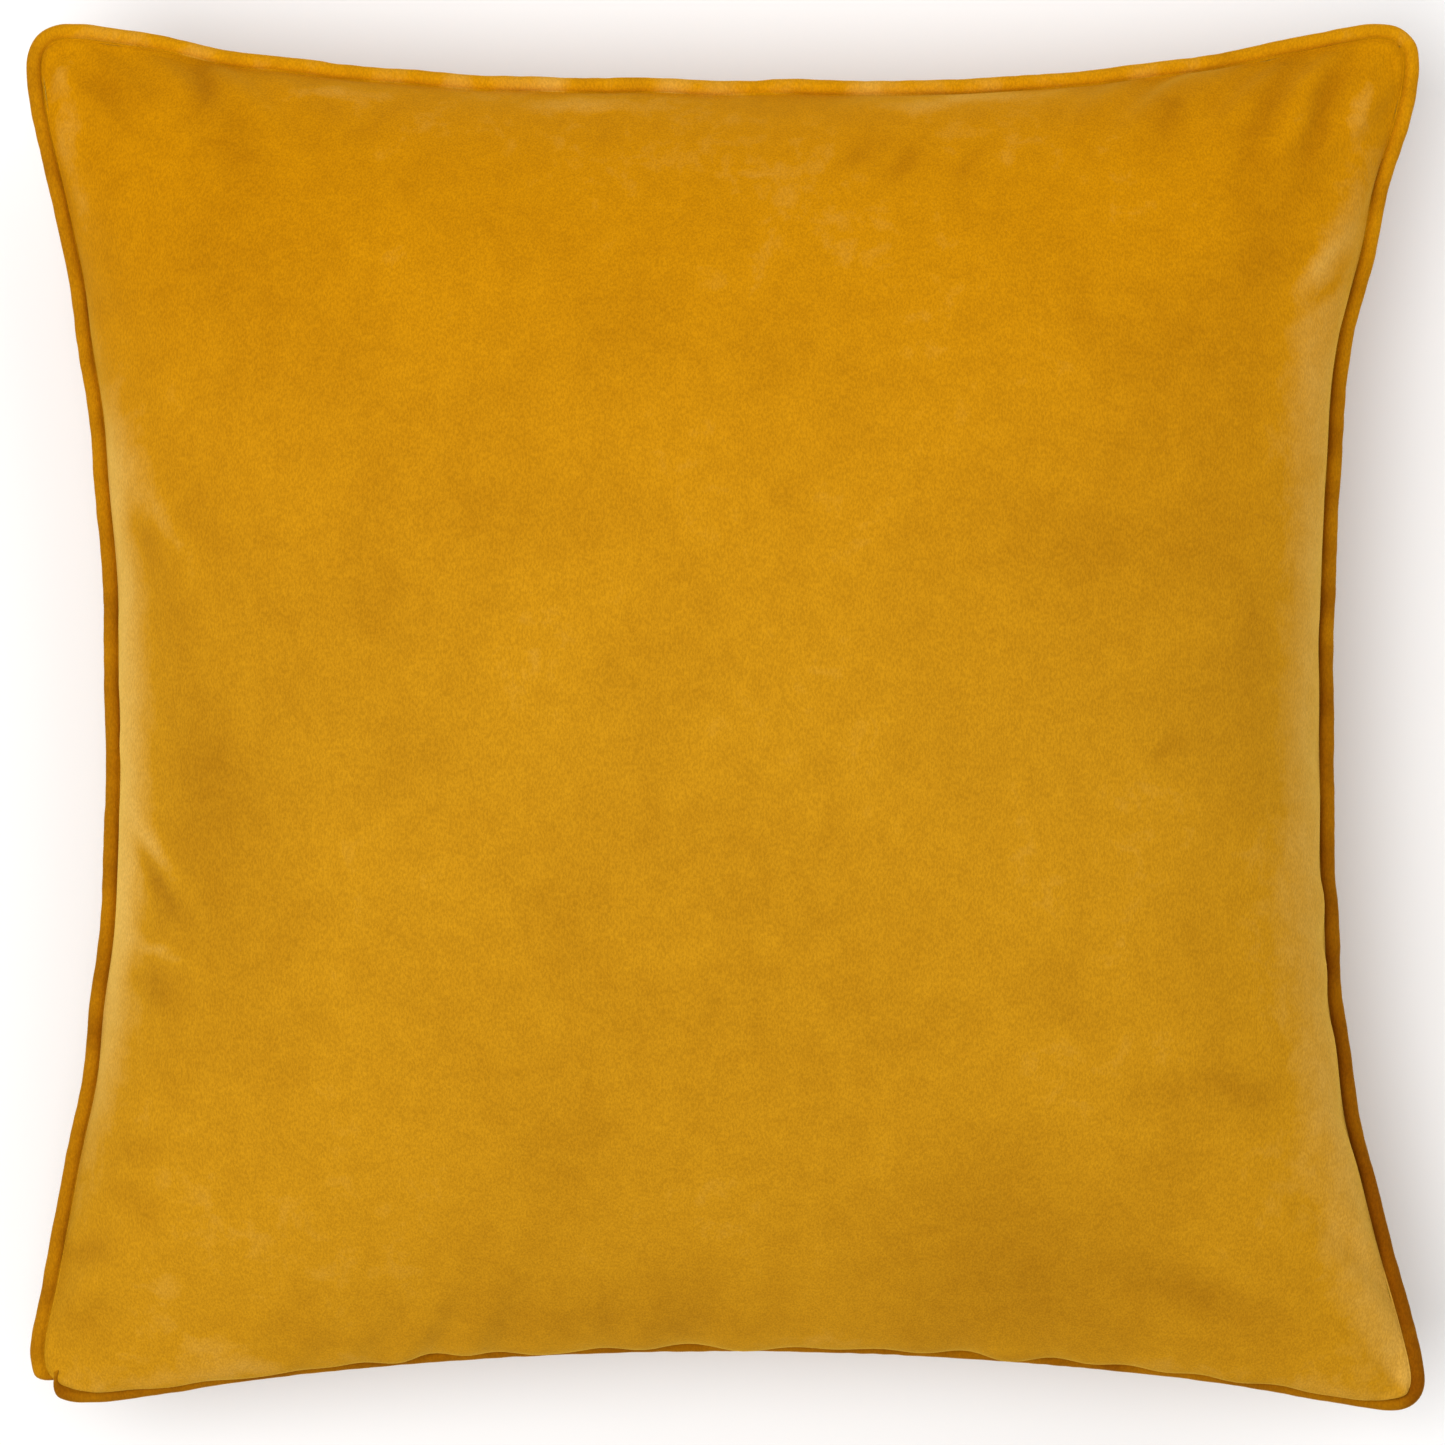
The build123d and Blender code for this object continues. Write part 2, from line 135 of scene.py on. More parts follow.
class Outline:
    """A pinched square seen from above, from its lower left corner anticlockwise."""

    STEPS_PER_SIDE = 1000

    def __init__(self, inset=0.0, flat=False, radii=CORNER_RADII):
        n = self.STEPS_PER_SIDE
        corners = CORNERS - np.sign(CORNERS) * inset
        if flat:
            corners = np.sign(CORNERS) * PANEL_SIDE / 2
        sharp = np.vstack([self.side(corners, k, flat) for k in range(4)])
        if not flat and not inset:
            sharp = self.on_edge_arc(sharp)
        closed = np.vstack([sharp, sharp[:1]])
        along = np.r_[0, np.cumsum(np.linalg.norm(np.diff(closed, axis=0), axis=1))]
        self.length = along[-1]
        self.corners = along[::n]
        steps = 4 * n
        self.place = np.arange(steps) / steps * self.length
        even = np.array([np.interp(self.place, along, axis) for axis in closed.T]).T
        nearest = np.round(self.place / self.length * 4).astype(int) % 4
        self.points = np.zeros_like(even)
        for corner, radius in enumerate(radii):
            rounded = self.averaged(even, radius * SPREAD_PER_RADIUS)
            self.points[nearest == corner] = rounded[nearest == corner]

    def side(self, corners, k, flat):
        """Points of one side, anticlockwise, without the last one."""
        t = np.linspace(-1, 1, self.STEPS_PER_SIDE, endpoint=False)[:, None]
        start, end = corners[k], corners[(k + 1) % 4]
        run = end - start
        inward = np.array([-run[1], run[0]]) / np.linalg.norm(run)
        factors = (0,) if flat else PULL_IN[k]
        pull = sum(f * MM * t**power for power, f in enumerate(factors)) * (1 - t**2)
        return start + run * (t + 1) / 2 + inward * pull

    @staticmethod
    def on_edge_arc(points):
        """Along the zip the lower edge is the arc that the slider travels."""
        x, y = points.T
        arc = FAR_Y + np.sqrt(EDGE_RADIUS**2 - x**2)
        share = zip_share(points, 40 * MM)
        return np.c_[x, y + (arc - y) * share]

    def averaged(self, points, spread):
        width = int(spread / self.length * len(points)) | 1
        weights = np.hanning(width + 2)[1:-1]
        weights /= weights.sum()
        shifted = (np.roll(points, i - width // 2, axis=0) for i in range(width))
        return sum(w * p for w, p in zip(weights, shifted))

    def at(self, place):
        """Points at lengths along the outline."""
        xy = [np.interp(place, self.place, axis, period=self.length) for axis in self.points.T]
        return np.array(xy).T

    def outward(self, place):
        """Unit vectors out of the outline."""
        step = 1 * MM
        along = self.at(np.asarray(place) + step) - self.at(np.asarray(place) - step)
        normal = np.c_[along[:, 1], -along[:, 0]]
        return normal / np.linalg.norm(normal, axis=1)[:, None]

    def ring(self, cells):
        """Places along the outline, with its sides in equal cells."""
        shares = np.arange(cells) / cells
        sides = zip(self.corners[:-1], self.corners[1:])
        return np.concatenate([a + (b - a) * shares for a, b in sides])


outline = Outline()
flat_outline = Outline(flat=True)


def wander(place, shortest, longest, seed):
    """Smooth wandering of about unit size along the outline, without a jump at its start."""
    draw = np.random.default_rng(seed)
    counts = np.arange(int(outline.length / longest), int(outline.length / shortest) + 1)
    phases = draw.uniform(0, math.tau, len(counts))
    sizes = draw.normal(0, 1, len(counts))
    turns = np.multiply.outer(np.asarray(place) / outline.length * math.tau, counts)
    return np.sin(turns + phases) @ sizes / math.sqrt(len(counts) / 2)


def corner_droop(xy):
    """How far the seam hangs below its level near the corners."""
    corner = np.array([SEAM_WIDTH / 2, SEAM_HEIGHT / 2])
    away = np.linalg.norm(np.abs(xy) - corner, axis=1)
    return CORNER_DROOP * np.exp(-((away / CORNER_DROOP_REACH) ** 2))


def corner_gap(place):
    """Length along the outline to the nearest corner."""
    return np.min([np.abs(place - c) for c in outline.corners], axis=0)


def allowance_at(place):
    """Width of the seam's allowance, which is clipped to half at the corners."""
    return ALLOWANCE * (1 - 0.5 * np.exp(-((corner_gap(place) / CORNER_LENGTH) ** 2)))


def seam_at(place):
    """Points of the seam in space, and its outward directions seen from above."""
    xy = outline.at(place)
    out = outline.outward(place)
    free = 1 - zip_share(xy, FREE_OF_ZIP)
    sway = SEAM_SWAY * wander(place, 45 * MM, 160 * MM, 11) * free
    lift = SEAM_LIFT * wander(place, 70 * MM, 260 * MM, 12) * free
    xy = xy + out * sway[:, None]
    return np.c_[xy, SEAM_LEVEL - corner_droop(xy) + lift], np.c_[out, 0 * sway]


# ---- meshes
def placed(name, data):
    made = bpy.data.objects.new(name, data)
    bpy.context.scene.collection.objects.link(made)
    return made


def new_object(name, points, faces):
    mesh = bpy.data.meshes.new(name)
    mesh.from_pydata(np.asarray(points).tolist(), [], np.asarray(faces).tolist())
    mesh.update()
    mesh.polygons.foreach_set("use_smooth", [True] * len(mesh.polygons))
    return placed(name, mesh)


def floor_square(name, half):
    corners = [(-half, -half, 0), (half, -half, 0), (half, half, 0), (-half, half, 0)]
    return new_object(name, corners, [(0, 1, 2, 3)])


def with_shade_and_tone(made, shades_and_tones):
    """Keeps the pile's tone, mostly painted shade and sheen, on the mesh's first points for its
    material. The rest have 0.
    """
    values = np.zeros(len(made.data.vertices))
    values[: len(shades_and_tones)] = np.clip(shades_and_tones, -1, 1)
    layer = made.data.attributes.new("shade_and_tone", "FLOAT", "POINT")
    layer.data.foreach_set("value", values)
    return made


def grid_faces(rows, columns, side):
    """Faces of a grid of points, turned to row cross column for side 1."""
    i, j = np.meshgrid(np.arange(rows), np.arange(columns), indexing="ij")
    across = columns + 1
    corner = (i * across + j).ravel()
    faces = np.c_[corner, corner + across, corner + across + 1, corner + 1]
    return faces[:, ::side]


def border_index(n):
    """Indices of the border of a grid of n cells each way, in the outline's order."""
    k = np.arange(n)
    across = n + 1
    return np.concatenate([k * across, n * across + k, (n - k) * across + n, n - k])


def ring_places(t):
    """For a grid's points: their ring, 0 in the middle to 1, and share of the way round."""
    u, v = np.meshgrid(t, t, indexing="ij")
    r = np.maximum(np.abs(u), np.abs(v))
    safe = np.where(r == 0, 1, r)
    a, b = u / safe, v / safe
    near = 1 - 1e-9
    share = np.select(
        [b <= -near, a >= near, b >= near],
        [(a + 1) / 2, 1 + (b + 1) / 2, 2 + (1 - a) / 2],
        3 + (1 - b) / 2,
    )
    return r, share / 4 % 1


def square_grid(ring_points, cells):
    """Even grid from the points of its border: each square ring is the border, scaled."""
    r, share = ring_places(np.linspace(-1, 1, cells + 1))
    count = len(ring_points)
    closed = np.vstack([ring_points, ring_points[:1]])
    at = share * count
    axes = [np.interp(at, np.arange(count + 1), closed[:, k]) for k in range(closed.shape[1])]
    return np.stack(axes, axis=-1) * r[..., None]


def finer(grid, places):
    """Catmull-Rom resampling of a square grid at places from 0 to its last index."""
    n = grid.shape[0] - 1
    padded = np.concatenate([2 * grid[:1] - grid[1:2], grid, 2 * grid[-1:] - grid[-2:-1]])
    low = np.clip(np.floor(places).astype(int), 0, n - 1)
    t = (places - low)[:, None, None]
    p0, p1, p2, p3 = (padded[low + k] for k in range(4))
    a = 2 * p1
    b = p2 - p0
    c = 2 * p0 - 5 * p1 + 4 * p2 - p3
    d = 3 * p1 - p0 - 3 * p2 + p3
    return (a + b * t + c * t**2 + d * t**3) / 2


def grid_normals(grid, side):
    """Outward unit normals of a panel's grid."""
    du = np.gradient(grid, axis=0)
    dv = np.gradient(grid, axis=1)
    normal = np.cross(du, dv) * side
    return normal / np.linalg.norm(normal, axis=-1)[..., None]


def shell(name, outer, inner, rings, side):
    """Closed shell of an outer grid, an inner grid and the rings that join their borders."""
    cells = outer.shape[0] - 1
    count = (cells + 1) ** 2
    border = border_index(cells)
    faces = [grid_faces(cells, cells, side), grid_faces(cells, cells, -side) + count]
    loops = [border]
    for k in range(len(rings)):
        loops.append(2 * count + k * len(border) + np.arange(len(border)))
    loops.append(border + count)
    for a, b in zip(loops[:-1], loops[1:]):
        face = np.c_[a, b, np.roll(b, -1), np.roll(a, -1)]
        faces.append(face[:, ::side])
    points = np.vstack([outer.reshape(-1, 3), inner.reshape(-1, 3), *rings])
    return new_object(name, points, np.vstack(faces))


def swept(sections, closed=False):
    """Surface through equal sections, an array of section, point and axis.

    Seen along the sweep, each section turns clockwise. Unless the sweep is closed, strips
    between the two halves of a section cap its ends, so they mirror each other.
    """
    count, around = sections.shape[:2]
    faces = []
    last = count if closed else count - 1
    j = np.arange(around)
    for i in range(last):
        a, b = i * around, (i + 1) % count * around
        faces.append(np.c_[a + j, b + j, b + (j + 1) % around, a + (j + 1) % around])
    if not closed:
        k = np.arange(around // 2 - 1)
        cap = np.c_[k, k + 1, around - 2 - k, around - 1 - k]
        faces += [cap, cap[:, ::-1] + (count - 1) * around]
    return sections.reshape(-1, 3), np.vstack(faces)


def round_sections(centre, across, above, radius, turn):
    """Sections round a line of centres, with a radius for each or for each of its points."""
    return (
        centre[:, None]
        + across[:, None] * (radius * np.cos(turn))[..., None]
        + above[:, None] * (radius * np.sin(turn))[..., None]
    )


def tube_sections(line, radius, around):
    """Round sections square to a line, with radius a number or one for each point."""
    line = np.asarray(line)
    ahead = np.gradient(line, axis=0)
    ahead /= np.linalg.norm(ahead, axis=1)[:, None]
    side = np.cross(ahead, UP)
    steep = np.linalg.norm(side, axis=1) < 0.2
    side[steep] = np.cross(ahead[steep], [1.0, 0.0, 0.0])
    side /= np.linalg.norm(side, axis=1)[:, None]
    over = np.cross(side, ahead)
    radius = np.broadcast_to(radius, len(line))[:, None]
    turn = np.linspace(0, math.tau, around, endpoint=False)
    return round_sections(line, side, over, radius, turn)


def joined(name, parts):
    """One object from several lists of points and faces of four corners."""
    points, faces, start = [], [], 0
    for p, f in parts:
        points.append(p)
        faces.append(f + start)
        start += len(p)
    return new_object(name, np.vstack(points), np.vstack(faces))


def stitches(name, lines, radius):
    """Stitches, each along a short line of points and thin at its ends."""
    parts = []
    for line in lines:
        middle = np.sin(np.linspace(0, math.pi, len(line)))
        size = radius * np.clip(2.2 * middle, 0.15, 1)
        parts.append(swept(tube_sections(line, size, 6)))
    return joined(name, parts)


# ---- panels
PRESSURE = 1500
TENSION = 110
BENDING = 1.5
CLOTH_FRAMES = 34
DRAW_IN_FRAMES = 14


def seam_ring(side, cells):
    """Where a panel's border is sewn. Side 1 is the front and -1 the back."""
    points, out = seam_at(outline.ring(cells))
    points[:, 2] += side * FLANGE_HALF
    if side < 0:
        drop = HEM_DROP * hem_share(points)
        points = points - (out + UP) * (drop * SLOPE)[:, None]
    return points


def pressed_out(side, cells):
    """A panel's grid with its border drawn in along the seam, crowned by the filling."""
    ring = seam_ring(side, cells)
    goal = square_grid(np.c_[ring[:, :2], ring[:, 2] - SEAM_LEVEL], cells)
    goal[..., 2] += SEAM_LEVEL
    t = np.linspace(-1, 1, cells + 1)
    rise = (1 - np.abs(t) ** 2.2) ** 0.8
    bulge = side * rise[:, None] * rise[None, :]
    places = flat_outline.ring(cells)
    flat_ring = flat_outline.at(places)
    if side < 0:
        cut = HEM_DROP * hem_share(ring)
        flat_ring = flat_ring - flat_outline.outward(places) * cut[:, None]
    flat = square_grid(flat_ring, cells)
    start_z = SEAM_LEVEL + side * FLANGE_HALF + bulge * 12 * MM
    start = np.concatenate([flat, start_z[..., None]], axis=-1)
    piece = new_object("cloth", start.reshape(-1, 3), grid_faces(cells, cells, side))
    pins = piece.vertex_groups.new(name="seam")
    pins.add(border_index(cells).tolist(), 1.0, "ADD")
    piece.shape_key_add(name="Basis")
    drawn_in = piece.shape_key_add(name="drawn_in")
    drawn_in.data.foreach_set("co", goal.ravel())
    for value, at in ((0, 1), (1, 1 + DRAW_IN_FRAMES)):
        drawn_in.value = value
        drawn_in.keyframe_insert("value", frame=at)
    cloth = piece.modifiers.new("cloth", "CLOTH")
    s = cloth.settings
    s.quality = 7
    s.mass = 0.05
    s.tension_stiffness = s.compression_stiffness = TENSION
    s.shear_stiffness = TENSION / 3
    s.bending_stiffness = BENDING
    s.tension_damping = s.compression_damping = s.shear_damping = 5
    s.air_damping = 2
    s.vertex_group_mass = "seam"
    s.use_pressure = True
    s.uniform_pressure_force = PRESSURE
    s.effector_weights.gravity = 0
    cloth.collision_settings.use_collision = side < 0
    used = [piece]
    if side < 0:
        press = floor_square("press", 1.0)
        press.modifiers.new("press", "COLLISION")
        press.collision.thickness_outer = 0.5 * MM
        cloth.collision_settings.distance_min = 0.5 * MM
        used.append(press)
    cloth.point_cache.frame_start = 1
    cloth.point_cache.frame_end = CLOTH_FRAMES
    for k in range(1, CLOTH_FRAMES + 1):
        bpy.context.scene.frame_set(k)
    settled = piece.evaluated_get(bpy.context.evaluated_depsgraph_get())
    points = np.zeros(len(settled.data.vertices) * 3)
    settled.data.vertices.foreach_get("co", points)
    for thing in used:
        bpy.data.objects.remove(thing)
    bpy.context.scene.frame_set(1)
    return points.reshape(cells + 1, cells + 1, 3)


def eased(grid, passes):
    """The grid with its creases eased out, and its border as it was."""
    for _ in range(passes):
        beside = grid[2:, 1:-1] + grid[:-2, 1:-1] + grid[1:-1, 2:] + grid[1:-1, :-2]
        grid[1:-1, 1:-1] = (grid[1:-1, 1:-1] + beside / 4) / 2
    return grid


# Soft folds and brushed strokes of the face: x and y of both ends, half width and rise in mm,
# and the pile's tone, from -1 for dark to 1 for pale. That last column is mostly painted light:
# painted shade along the creases, painted highlight on the ridges and painted sheen in pale
# bands by the edges, the rest being marks in the pile.
FOLDS = (
    (-262, 260, -265, 244, 4.5, 1.2, 0.15),
    (-262, 250, -256, 190, 6, 0.3, 0.26),
    (-218, 267, -203, 251, 5, -0.7, -0.2),
    (-207, 254, -204, 240, 6, -0.7, -0.3),
    (-193, 234, -189, 220, 10, -0.5, -0.25),
    (-250, 262, -238, 240, 8, -0.8, -0.2),
    (228, 268, 204, 214, 5.5, -1.5, -0.3),
    (248, 268, 229, 214, 5, -1.5, -0.3),
    (238, 258, 220, 224, 5, 1.3, 0.2),
    (258, 253, 252, 228, 5, 1.2, 0.25),
    (184, 248, 168, 220, 7, -0.4, -0.25),
    (-120, 242, 200, 238, 20, 0.0, -0.05),
    (-232, 232, -190, 160, 36, 0.0, -0.12),
    (252, 222, 224, 118, 13, 0.0, 0.34),
    (234, 90, 236, -10, 10, 0.0, 0.15),
    (226, 30, 228, -40, 14, 0.0, 0.08),
    (-200, -246, 200, -246, 20, 0.0, -0.06),
    (210, 206, 206, 166, 16, -0.3, -0.2),
    (246, 190, 226, 170, 4, 0.7, 0.3),
    (248, 176, 226, 154, 4, -0.7, -0.3),
    (245, 166, 214, 146, 4, 0.5, 0.15),
    *((x, 210, x + 16, 226, 4, -0.3, -0.25) for x in (43, 63, 91)),
    (-179, 250, -121, 246, 3.5, 0.6, 0.25),
    (-73, 242, -29, 241, 4, 0.7, 0.35),
    (58, 242, 134, 247, 3, 0.5, 0.3),
    (-233, 86, -227, 62, 8, -0.5, -0.3),
    (-229, 94, -209, 62, 5, 0.4, 0.3),
    (-137, 62, -131, 26, 9, -0.2, -0.12),
    (-209, -2, -193, -66, 18, -0.4, -0.22),
    (-235, -34, -209, -70, 3, 0.9, 0.4),
    (-231, -50, -212, -78, 3, -0.7, -0.4),
    (-234, -86, -209, -98, 3, 0.6, 0.4),
    (-236, -100, -210, -114, 5, -0.4, -0.2),
    (-243, -171, -219, -168, 6, -0.4, -0.18),
    (-245, -186, -221, -193, 6, -0.4, -0.16),
    (-260, -217, -242, -209, 6, -0.8, -0.22),
    (-259, -229, -241, -222, 6, 0.7, 0.1),
    (-256, -240, -240, -234, 9, -0.5, -0.16),
    (-212, -254, -180, -262, 7, 0.8, 0.2),
    (128, -94, 130, -113, 6, -0.2, -0.14),
    (130, -113, 147, -126, 6, -0.2, -0.12),
    (156, -146, 190, -144, 7, -0.3, -0.15),
    (190, -144, 224, -148, 6, -0.3, -0.2),
    (166, -16, 179, -12, 5, -0.2, -0.2),
    (146, 62, 194, 66, 18, 0.0, -0.14),
    (206, 46, 210, 10, 8, -0.3, -0.12),
    (80, -196, 130, -226, 42, 0.0, -0.3),
    (158, -218, 222, -242, 10, -0.4, -0.25),
)
RISE, SHADE_AND_TONE = 5, 6  # their columns in FOLDS
PUCKER_SIZE = 0.42 * MM
PUCKER_REACH = 15 * MM
SEAM_BULK = 3.2 * MM
EASING = 8  # passes
LIP_OVERHANG = 7.2 * MM
LIP_RISE = 3.2 * MM  # from the seam, where the lean sets in
LIP_REACH = 55 * MM  # from the seam, where it dies out
JOIN_CLEARANCE = 14 * MM  # along the seam, where the face leaves the piping's join in view


def folded(xy, column):
    """Sum of the folds' rise or tone, the latter mostly painted shade and highlight, at points
    seen from above.
    """
    x, y = xy[..., 0] / MM, xy[..., 1] / MM
    # Cloth never folds in a straight line.
    x = x + 1.5 * np.sin(y / 12 + 1) + 0.8 * np.sin(y / 5 + x / 11)
    y = y + 1.5 * np.sin(x / 12 + 2) + 0.8 * np.sin(x / 5 - y / 9)
    total = np.zeros(x.shape)
    for fold in FOLDS:
        x0, y0, x1, y1, width = fold[:5]
        length = math.hypot(x1 - x0, y1 - y0)
        along = ((x - x0) * (x1 - x0) + (y - y0) * (y1 - y0)) / length
        across = ((x - x0) * (y1 - y0) - (y - y0) * (x1 - x0)) / length
        half = length / 2 + width
        total += fold[column] * np.exp(
            -(((along - length / 2) / half) ** 2) * 1.6 - (across / width) ** 2
        )
    return total


class Panel:
    """One panel of the cover: its outer grid, and its rings and places along the seam."""

    def __init__(self, side):
        self.side = side
        q = np.linspace(-1, 1, FINE_CELLS + 1)
        crowd = 0.8 * math.pi / 2  # brings the grid's lines closer towards its border
        t = np.sin(q * crowd) / math.sin(crowd)
        coarse = eased(pressed_out(side, CELLS), EASING)
        places = (t + 1) / 2 * CELLS
        grid = finer(coarse, places)
        grid = finer(grid.transpose(1, 0, 2), places).transpose(1, 0, 2)
        r, share = ring_places(t)
        self.place = np.interp(share * 4, range(5), outline.corners)
        self.away = (1 - r) * SEAM_HEIGHT / 2  # from the seam, roughly
        seam, out = seam_at(self.place.ravel())
        self.seam = seam.reshape(grid.shape)
        self.out = out.reshape(grid.shape)
        self.grid = grid
        self.clear_seam()
        self.pucker()
        if side > 0:
            self.fold()
            self.lean_out()
        else:
            self.hold_to_band()
            self.grid[..., 2] = np.maximum(self.grid[..., 2], 0)
        self.normals = grid_normals(self.grid, side)

    def inward(self):
        """How far points lie inside the seam, seen from above."""
        return np.sum((self.seam - self.grid) * self.out, axis=-1)

    def clear_seam(self):
        """The bulk of the seam holds the cloth up, and it doesn't hang out over the piping."""
        rise = (self.grid[..., 2] - self.seam[..., 2]) * self.side
        least = 0.12 * np.clip(rise, 0, 30 * MM)
        short = np.maximum(least - self.inward(), 0)
        self.grid -= self.out * short[..., None]
        free = 1
        if self.side < 0:
            free = 1 - zip_share(self.seam, FREE_OF_ZIP)
        bulk = FLANGE_HALF + SEAM_BULK * (1 - np.exp(-self.inward() / (1.6 * MM)))
        lift = np.maximum(bulk - rise, 0) * free
        self.grid[..., 2] += self.side * lift

    def shade_and_tone(self):
        """The pile's tone at each point, from -1 for dark to 1 for pale, mostly painted light:
        the folds' painted shade and highlight, and painted sheen along the edges.
        """
        if self.side < 0:
            return np.zeros(self.away.shape)
        y = self.grid[..., 1]
        inward = self.inward()
        total = folded(self.grid, SHADE_AND_TONE)
        # Painted sheen, as pale rims where the face turns down: at the left, the right and the
        # lower edge.
        mid_left = smooth((140 * MM - y) / (60 * MM)) * smooth((y + 200 * MM) / (100 * MM))
        low_right = smooth((190 * MM - y) / (80 * MM))
        painted_sheen_bands = (
            (-self.out[..., 0], 0.95, 12 * MM, mid_left),
            (self.out[..., 0], 0.4, 20 * MM, low_right),
            (-self.out[..., 1], 0.12, 4 * MM, 1),
        )
        for facing, size, width, where in painted_sheen_bands:
            total += size * np.exp(-((inward / width) ** 2)) * where * smooth(facing * 2 - 1)
        return total

    def pucker(self):
        """Small gathers where the cloth meets the seam."""
        seed = 21 if self.side > 0 else 22
        waves = wander(self.place, 22 * MM, 75 * MM, seed)
        slow = 0.6 + 0.4 * wander(self.place, 200 * MM, 600 * MM, seed + 10)
        near = self.away / PUCKER_REACH
        shape = near * np.exp(1 - near)
        corner = 1 + 1.4 * np.exp(-corner_gap(self.place) / (45 * MM))
        size = PUCKER_SIZE * waves * slow * shape * corner
        self.grid += grid_normals(self.grid, self.side) * size[..., None]

    def fold(self):
        rise = folded(self.grid, RISE) * MM * smooth(self.away / (5 * MM))
        self.grid += grid_normals(self.grid, 1) * rise[..., None]

    def lean_out(self):
        """Along the lower edge the filling pushes the face out over the piping."""
        lower = smooth((-self.seam[..., 1] / (SEAM_HEIGHT / 2) - 0.78) / 0.12)
        towards = -self.out[..., 1]
        wave = 1 + 0.16 * wander(self.place, 28 * MM, 120 * MM, 31)
        rise = 1 - np.exp(-self.away / LIP_RISE)
        fall = np.exp(-((self.away / LIP_REACH) ** 2) * 2.5)
        size = LIP_OVERHANG * wave * rise * fall * lower * smooth(towards * 1.6 - 0.6)
        from_join = np.minimum(self.place, outline.length - self.place)
        size *= 1 - np.exp(-((from_join / JOIN_CLEARANCE) ** 2))
        self.grid += self.out * size[..., None]

    def hold_to_band(self):
        """By the zip the panel lies on the straight slope that the zip is sewn along."""
        inward = np.hypot(self.grid[..., 0], self.grid[..., 1] - FAR_Y) - EDGE_RADIUS
        drop = BAND_START - self.grid[..., 2]
        down = (inward + drop) * SLOPE
        out = (drop - inward) * SLOPE
        start, end = BAND_HELD
        held = 1 - smooth((down - start) / (end - start))
        held *= zip_share(self.seam, 16 * MM)
        self.grid -= (self.out - UP) * SLOPE * (out * held)[..., None]

    def inner(self):
        """The cloth's inside face, which stays clear of the turned-in allowance."""
        inner = self.grid - self.normals * CLOTH
        least = FLANGE_HALF + CLOTH + 0.02 * self.away
        rise = (inner[..., 2] - self.seam[..., 2]) * self.side
        inner[..., 2] += self.side * np.maximum(least - rise, 0)
        return inner

    def turned_in(self):
        """Rings of the seam allowance, or of the hem along the zip."""
        border = border_index(FINE_CELLS)
        edge, seam, out = (a.reshape(-1, 3)[border] for a in (self.grid, self.seam, self.out))
        allowance = allowance_at(self.place.ravel()[border])
        hem = hem_share(seam) if self.side < 0 else np.zeros(len(border))
        slope = -(out + UP) * SLOPE  # down the band
        depth = (UP - out) * SLOPE  # into the cushion
        rings = []
        lip = edge + (depth * CLOTH - slope * 0.3 * MM) * hem[:, None]
        lip += UP * (self.side * 0.02 * MM * (1 - hem))[:, None]
        rings.append(lip)
        faces = ((0.0, 1.95, (0.1, 0.4, 0.7, 1.0)), (CLOTH, 1.02, (1.0, 0.7, 0.4, 0.26)))
        for height, under, shares in faces:
            for share in shares:
                level = seam + UP * (self.side * (FLANGE_HALF + height))
                flat = level - out * (share * allowance)[:, None]
                folded_in = edge + slope * share * HEM_WIDTH + depth * under * CLOTH
                rings.append(flat + (folded_in - flat) * hem[:, None])
        return rings

    def build(self, name):
        made = shell(name, self.grid, self.inner(), self.turned_in(), self.side)
        return with_shade_and_tone(made, self.shade_and_tone().ravel())


front = Panel(1)
back = Panel(-1)
front_panel = front.build("velvet_front")
back_panel = back.build("velvet_back")

# ---- piping
PIPING_STEP = 1.5 * MM
WRAP_AROUND, BORE_AROUND, CORD_AROUND = 26, 16, 18  # points of a section
PIPING_TUCK = math.radians(26)  # below level along the lower edge
CORD_LAY = 14 * MM  # length of one twist of its strands
JOIN_RUN_IN = 13 * MM  # each end leaves the edge over this length
JOIN_CROSS = 5 * MM  # and runs on past the corner
JOIN_OFFSET = -4 * MM
JOIN_RISE = 1.3 * MM  # one end passes over the other
JOIN_SQUEEZE = 0.45  # share of the radius left at the ends
PILE_GAP = 0.05 * MM
# Painted shade and sheen, as light falls on pile that leans down the pillow: the piping is
# painted dark below and pale above. The way that each place faces, from -1 for down to 1 for
# up, and its tone.
PIPING_SHADE_BY_FACING = ((-1.0, -0.3, 0.3, 1.0), (-0.6, -0.35, -0.35, 0.08))
# Painted shade down the right side, darkest at its lower end:
RIGHT_SHADE_RISE = 1.9  # per metre up the right side
RIGHT_SHADE_MIDDLE = -0.26  # at its middle


def piping_line():
    """Places, and for each its distance out of the seam, its lift and its squeeze."""
    length = outline.length
    place = np.arange(-JOIN_CROSS, length + JOIN_CROSS, PIPING_STEP)
    from_start = smooth(place / JOIN_RUN_IN + 0.35)
    to_end = smooth((length - place) / JOIN_RUN_IN + 0.35)
    both = from_start * to_end
    offset = JOIN_OFFSET + (PIPING_RADIUS - JOIN_OFFSET) * both
    lift = JOIN_RISE * (to_end - from_start)
    squeeze = JOIN_SQUEEZE + (1 - JOIN_SQUEEZE) * both
    return place, offset, lift, squeeze


def piping_tilt(seam):
    """Angle below level: the piping rolls under along the lower edge."""
    lower = smooth((-seam[:, 1] / (SEAM_HEIGHT / 2) - 0.80) / 0.10)
    return lower * PIPING_TUCK


def piping_frames():
    """What the piping's sections are built on, in order along it."""
    place, offset, lift, squeeze = piping_line()
    seam, out = seam_at(place % outline.length)
    free = 1 - zip_share(seam, FREE_OF_ZIP)
    tilt = piping_tilt(seam) + 0.12 * wander(place, 35 * MM, 140 * MM, 41) * free
    across = out * np.cos(tilt)[:, None] - UP * np.sin(tilt)[:, None]
    above = out * np.sin(tilt)[:, None] + UP * np.cos(tilt)[:, None]
    centre = seam + across * offset[:, None] + UP * lift[:, None]
    return place, seam, out, across, above, centre, squeeze


